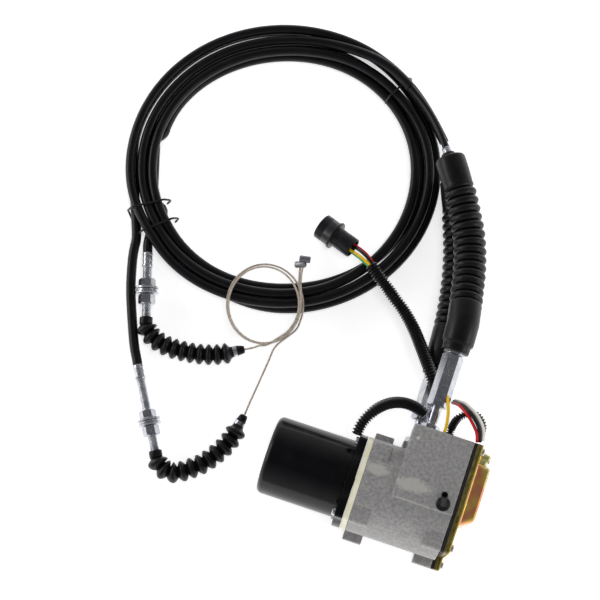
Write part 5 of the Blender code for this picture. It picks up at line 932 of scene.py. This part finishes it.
# Six strands round the rope's core, one turn in every 12 mm
LOBES, LAY_LENGTH = 6, 0.012
for letter, (nipple_at, direction, points) in rope_ends.items():
    direction.normalize()
    line = smooth_line(points + [tuple(nipple_at)], 0.0008)
    run = run_of(line)
    angle = np.linspace(0.0, math.tau, 24, endpoint=False)
    radii = np.tile(0.00078 + 0.00032 * np.abs(np.cos(angle * LOBES / 2)), (len(line), 1))
    rope = shell(f"wire_rope_{letter}", sweep(line, run, radii, 24, run / LAY_LENGTH * math.tau), wire_rope,
                 sharp=75.0)
    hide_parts(f"rope_{letter}", *(("rope_coil",) if letter == "a" else ()))
    place = Matrix.Translation(nipple_at - direction * 0.00575) @ direction.to_track_quat("X", "Z").to_matrix().to_4x4()
    nipple = shell(f"nipple_{letter}", lathe(mm([
        (-0.2, 1.2), (0, 3), (0.4, 3.4), (0.9, 3.5), (10.6, 3.5), (11.1, 3.4), (11.5, 3), (11.5, 1.6), (10.7, 1.3),
    ]), 48, place), cast_zinc, sharp=40.0)
    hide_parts(f"rope_nipple_{letter}")


# Harness: a round moulded nylon plug, five coloured wires and black split conduit.
# The plug has a soft moulded gloss; the conduit is corrugated polypropylene.
black_nylon = surface("black_moulded_nylon", "#111113", 0.34, 0.0, ("#0D0D0F", "#18181A", 0.008),
                      (0.0007, 0.00003, 0.5), extra={"Coat Weight": 0.15})
# Shinier polypropylene, which catches a point of light on each rib
conduit_plastic = surface("black_conduit_polypropylene", "#0B0B0C", 0.24, 0.0, ("#0A0A0B", "#141415", 0.006),
                          (0.0008, 0.00002, 0.3), extra={"Specular IOR Level": 0.8})

PLUG_FRONT, PLUG_BACK = Vector((-0.132, 0.248, 0.0158)), Vector((-0.0915, 0.2335, 0.0215))
plug_place = Matrix.Translation(PLUG_FRONT) @ (PLUG_BACK - PLUG_FRONT).to_track_quat("X", "Z").to_matrix().to_4x4()
plug = shell("connector_moulded", lathe(mm([
    (12.6, 2), (12.6, 11.9), (1, 12.1), (0, 12.4), (0, 13.2), (0.5, 13.72), (8, 13.75), (8.4, 13.5),
    (9.2, 13.5), (9.6, 13.72), (16, 13.72), (16.6, 14), (17, 15), (17.4, 15.2), (19.4, 15.2), (19.8, 15),
    (20, 12), (20.6, 11.1), (21.4, 10.9), (26.2, 10.8), (26.6, 10.5), (27.2, 10.5), (27.6, 10.8), (41, 10.8),
    (41.7, 10.5), (42, 10), (42, 9.4), (32, 9.2), (32, 2),
]), 72, plug_place), black_nylon, sharp=35.0)
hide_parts("connector")
lug_shape = bmesh.new()
made = bmesh.ops.create_cube(lug_shape, size=1.0)
bmesh.ops.scale(lug_shape, vec=(0.0030, 0.0075, 0.0044), verts=made["verts"])
bmesh.ops.bevel(lug_shape, geom=lug_shape.edges[:], offset=0.0007, segments=3, affect="EDGES")
bmesh.ops.transform(lug_shape, verts=lug_shape.verts, matrix=plug_place @ Matrix.Rotation(math.radians(-80), 4, "X")
                    @ Matrix.Translation((0.0184, 0.0, 0.0132)))
lug_mesh = bpy.data.meshes.new("connector_lug")
bmesh.ops.recalc_face_normals(lug_shape, faces=lug_shape.faces)
lug_shape.to_mesh(lug_mesh)
lug_shape.free()
dress("connector_lug", lug_mesh, black_nylon, "actuator", 35.0)

# Coloured PVC: plain hues with a satin skin
wire_colours = {"yellow": "#F6C800", "green": "#35B57C", "red": "#C81922", "white": "#EDE6DE", "black": "#141415"}
wire_finish = {}
for colour, code in wire_colours.items():
    wire_finish[colour], tree, shader = new_material(f"{colour}_pvc_wire", code, 0.38)
    place = add(tree, "ShaderNodeTexCoord")
    grain(tree, shader, place, 0.0010, 0.00003, 0.4)
    roughness_between(tree, shader, noise(tree, place, 0.003, 5.0).outputs["Fac"], 0.30, 0.46)


def wire(name, points, radius, colour):
    # A sleeved wire, swept along a smooth line through the given points
    line = smooth_line(points, 0.0012)
    made = shell(name, sweep(line, run_of(line), np.full(len(line), radius), 16), wire_finish[colour],
                 sharp=60.0)
    return made


BUNDLE = [Vector(point) for point in mm([
    (-101, 236.9, 20.2), (-91.2, 233.4, 22), (-80.8, 228.5, 28.2), (-71, 222.6, 30.4), (-66, 218.7, 30.3),
])]
BUNDLE_RADIUS = (0.0036, 0.0040, 0.0040, 0.0032, 0.0030)
for colour, degrees in (("green", 330), ("yellow", 25), ("red", 160), ("black", 95), ("white", 215)):
    points = []
    for i, centre in enumerate(BUNDLE):
        ahead = (BUNDLE[min(i + 1, 4)] - BUNDLE[max(i - 1, 0)]).normalized()
        side = ahead.cross(Vector((0, 0, 1))).normalized()
        upward = side.cross(ahead)
        a = math.radians(degrees + i * 9)
        points.append(tuple(centre + (side * math.cos(a) + upward * math.sin(a)) * BUNDLE_RADIUS[i]))
    made = wire(f"plug_wire_{colour}", points, 0.0015, colour)
    if colour == "green":
        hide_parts("connector_wires")


HARNESS = mm([
    (-70, 221.5, 30.2), (-57, 211.5, 29.5), (-46, 204, 29), (-36, 196, 30.5), (-22, 185.5, 32),
    (-7.5, 171, 36), (5, 155, 42), (15, 141, 48), (23, 130, 51.5), (31, 118, 52), (37, 108, 52),
])
MOTOR_CONDUIT = mm([
    (-27.8, 42.2, 85), (-27.6, 49, 85.2), (-25.5, 58, 85), (-20, 69, 83.8), (-12.5, 78.5, 80),
    (-3.5, 85.5, 74.5), (6.5, 89.5, 68), (15.5, 90.5, 62), (23.5, 89.5, 56.5), (30, 87, 53),
])
SENSOR_CONDUIT = mm([
    (59, 71.6, 80), (59, 77, 80.1), (59.5, 82.5, 85), (61.5, 88, 90.5), (66, 93, 93), (73, 97, 94),
    (80, 96, 93), (86, 91, 90), (88.5, 84, 86), (88, 76.5, 83),
])
for name, points, radius, across, pitch in (("harness_conduit", HARNESS, 0.0066, 0.0126, 0.0030),
                                            ("motor_conduit", MOTOR_CONDUIT, 0.0058, 0.0110, 0.0030),
                                            ("sensor_conduit", SENSOR_CONDUIT, 0.0040, 0.0074, 0.0026)):
    # Corrugated tube, its ribs a pitch apart
    line = smooth_line(points, 0.0008)
    run = run_of(line)
    count = int(run[-1] / pitch)
    s = np.linspace(0.0, count, count * 10 + 1)
    ribs = 1.0 - 2.0 * np.abs(np.cos(math.pi * s)) ** 2
    tube = shell(f"{name}_split", sweep(line, s / count * run[-1], radius - 0.0009 + 0.0011 * ribs, 40),
                 conduit_plastic, sharp=60.0)
    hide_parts(name)

SENSOR_WIRES = {
    "red": mm([
        (53, 106, 62), (56, 103.5, 79), (59.8, 100, 95), (65, 95.5, 103.5), (71.2, 90.5, 106),
        (77.5, 84.5, 105.5), (83, 78.5, 103), (86.2, 71.5, 97.5),
    ]),
    "black": mm([
        (54, 107.5, 64), (57, 104.5, 80), (61.5, 101.5, 95.5), (67, 97.5, 104.5), (73.8, 92.8, 107.2),
        (80.5, 86.8, 106.8), (85.8, 80, 104), (88.8, 72.5, 97.5),
    ]),
    "white": mm([
        (55, 108.5, 65), (59, 106.5, 80), (63.5, 104.2, 95), (69.5, 100.5, 103.5), (76.5, 95.8, 106.2),
        (83.5, 89.7, 105.8), (88.8, 82.5, 103), (91.2, 74.5, 97.5),
    ]),
}
for colour, points in SENSOR_WIRES.items():
    made = wire(f"sensor_wire_{colour}", points, 0.0019 if colour == "black" else 0.00165, colour)
    if colour == "red":
        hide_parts("sensor_wires")
yellow = wire("yellow_wire_lead", mm([
    (45.5, 108, 80), (48.8, 98.5, 86.2), (51, 90, 90.8), (52.4, 82, 93.2), (53, 76, 93.7), (53, 70.3, 93),
]), 0.0016, "yellow")
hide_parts("yellow_wire")


# Inside: cut gears in hardened steel, turned shafts, bronze bushes, a ferrite magnet and
# a moulded sensor. They are out of sight, keep their own shapes, and each metal has its tool marks.
turned_steel = surface("turned_steel", "#9C9C9E", 0.3, 1.0, ("#8E8E90", "#ABABAC", 0.004), (0.0005, 0.00002, 0.5))
hardened_steel = surface("hardened_gear_steel", "#77777A", 0.34, 1.0, ("#6A6A6E", "#858588", 0.003),
                         (0.0006, 0.00003, 0.5))
bronze = surface("sintered_bronze", "#B07C3C", 0.42, 1.0, ("#A06E34", "#BE8B49", 0.002), (0.0004, 0.00005, 0.7))
ferrite = surface("sintered_ferrite", "#3B3B3E", 0.6, 0.0, ("#333336", "#454549", 0.003), (0.0005, 0.00005, 0.7))
inner_finishes = {
    turned_steel: ["rotor_shaft", "front_bearing", "first_carrier", "output_carrier", "cable_drum", "sensor_spindle"],
    hardened_steel: ["armature_core", "ring_gear", "first_planet_a", "first_planet_b", "first_planet_c",
                     "second_planet_a", "second_planet_b", "second_planet_c"],
    bronze: ["rear_bush", "output_bush"],
    ferrite: ["ring_magnet"],
    black_nylon: ["brush_plate", "position_sensor"],
    wire_rope: ["inner_wire_upper", "inner_wire_lower"],
}
for finish, names in inner_finishes.items():
    for name in names:
        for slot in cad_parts[name].material_slots:
            slot.material = finish
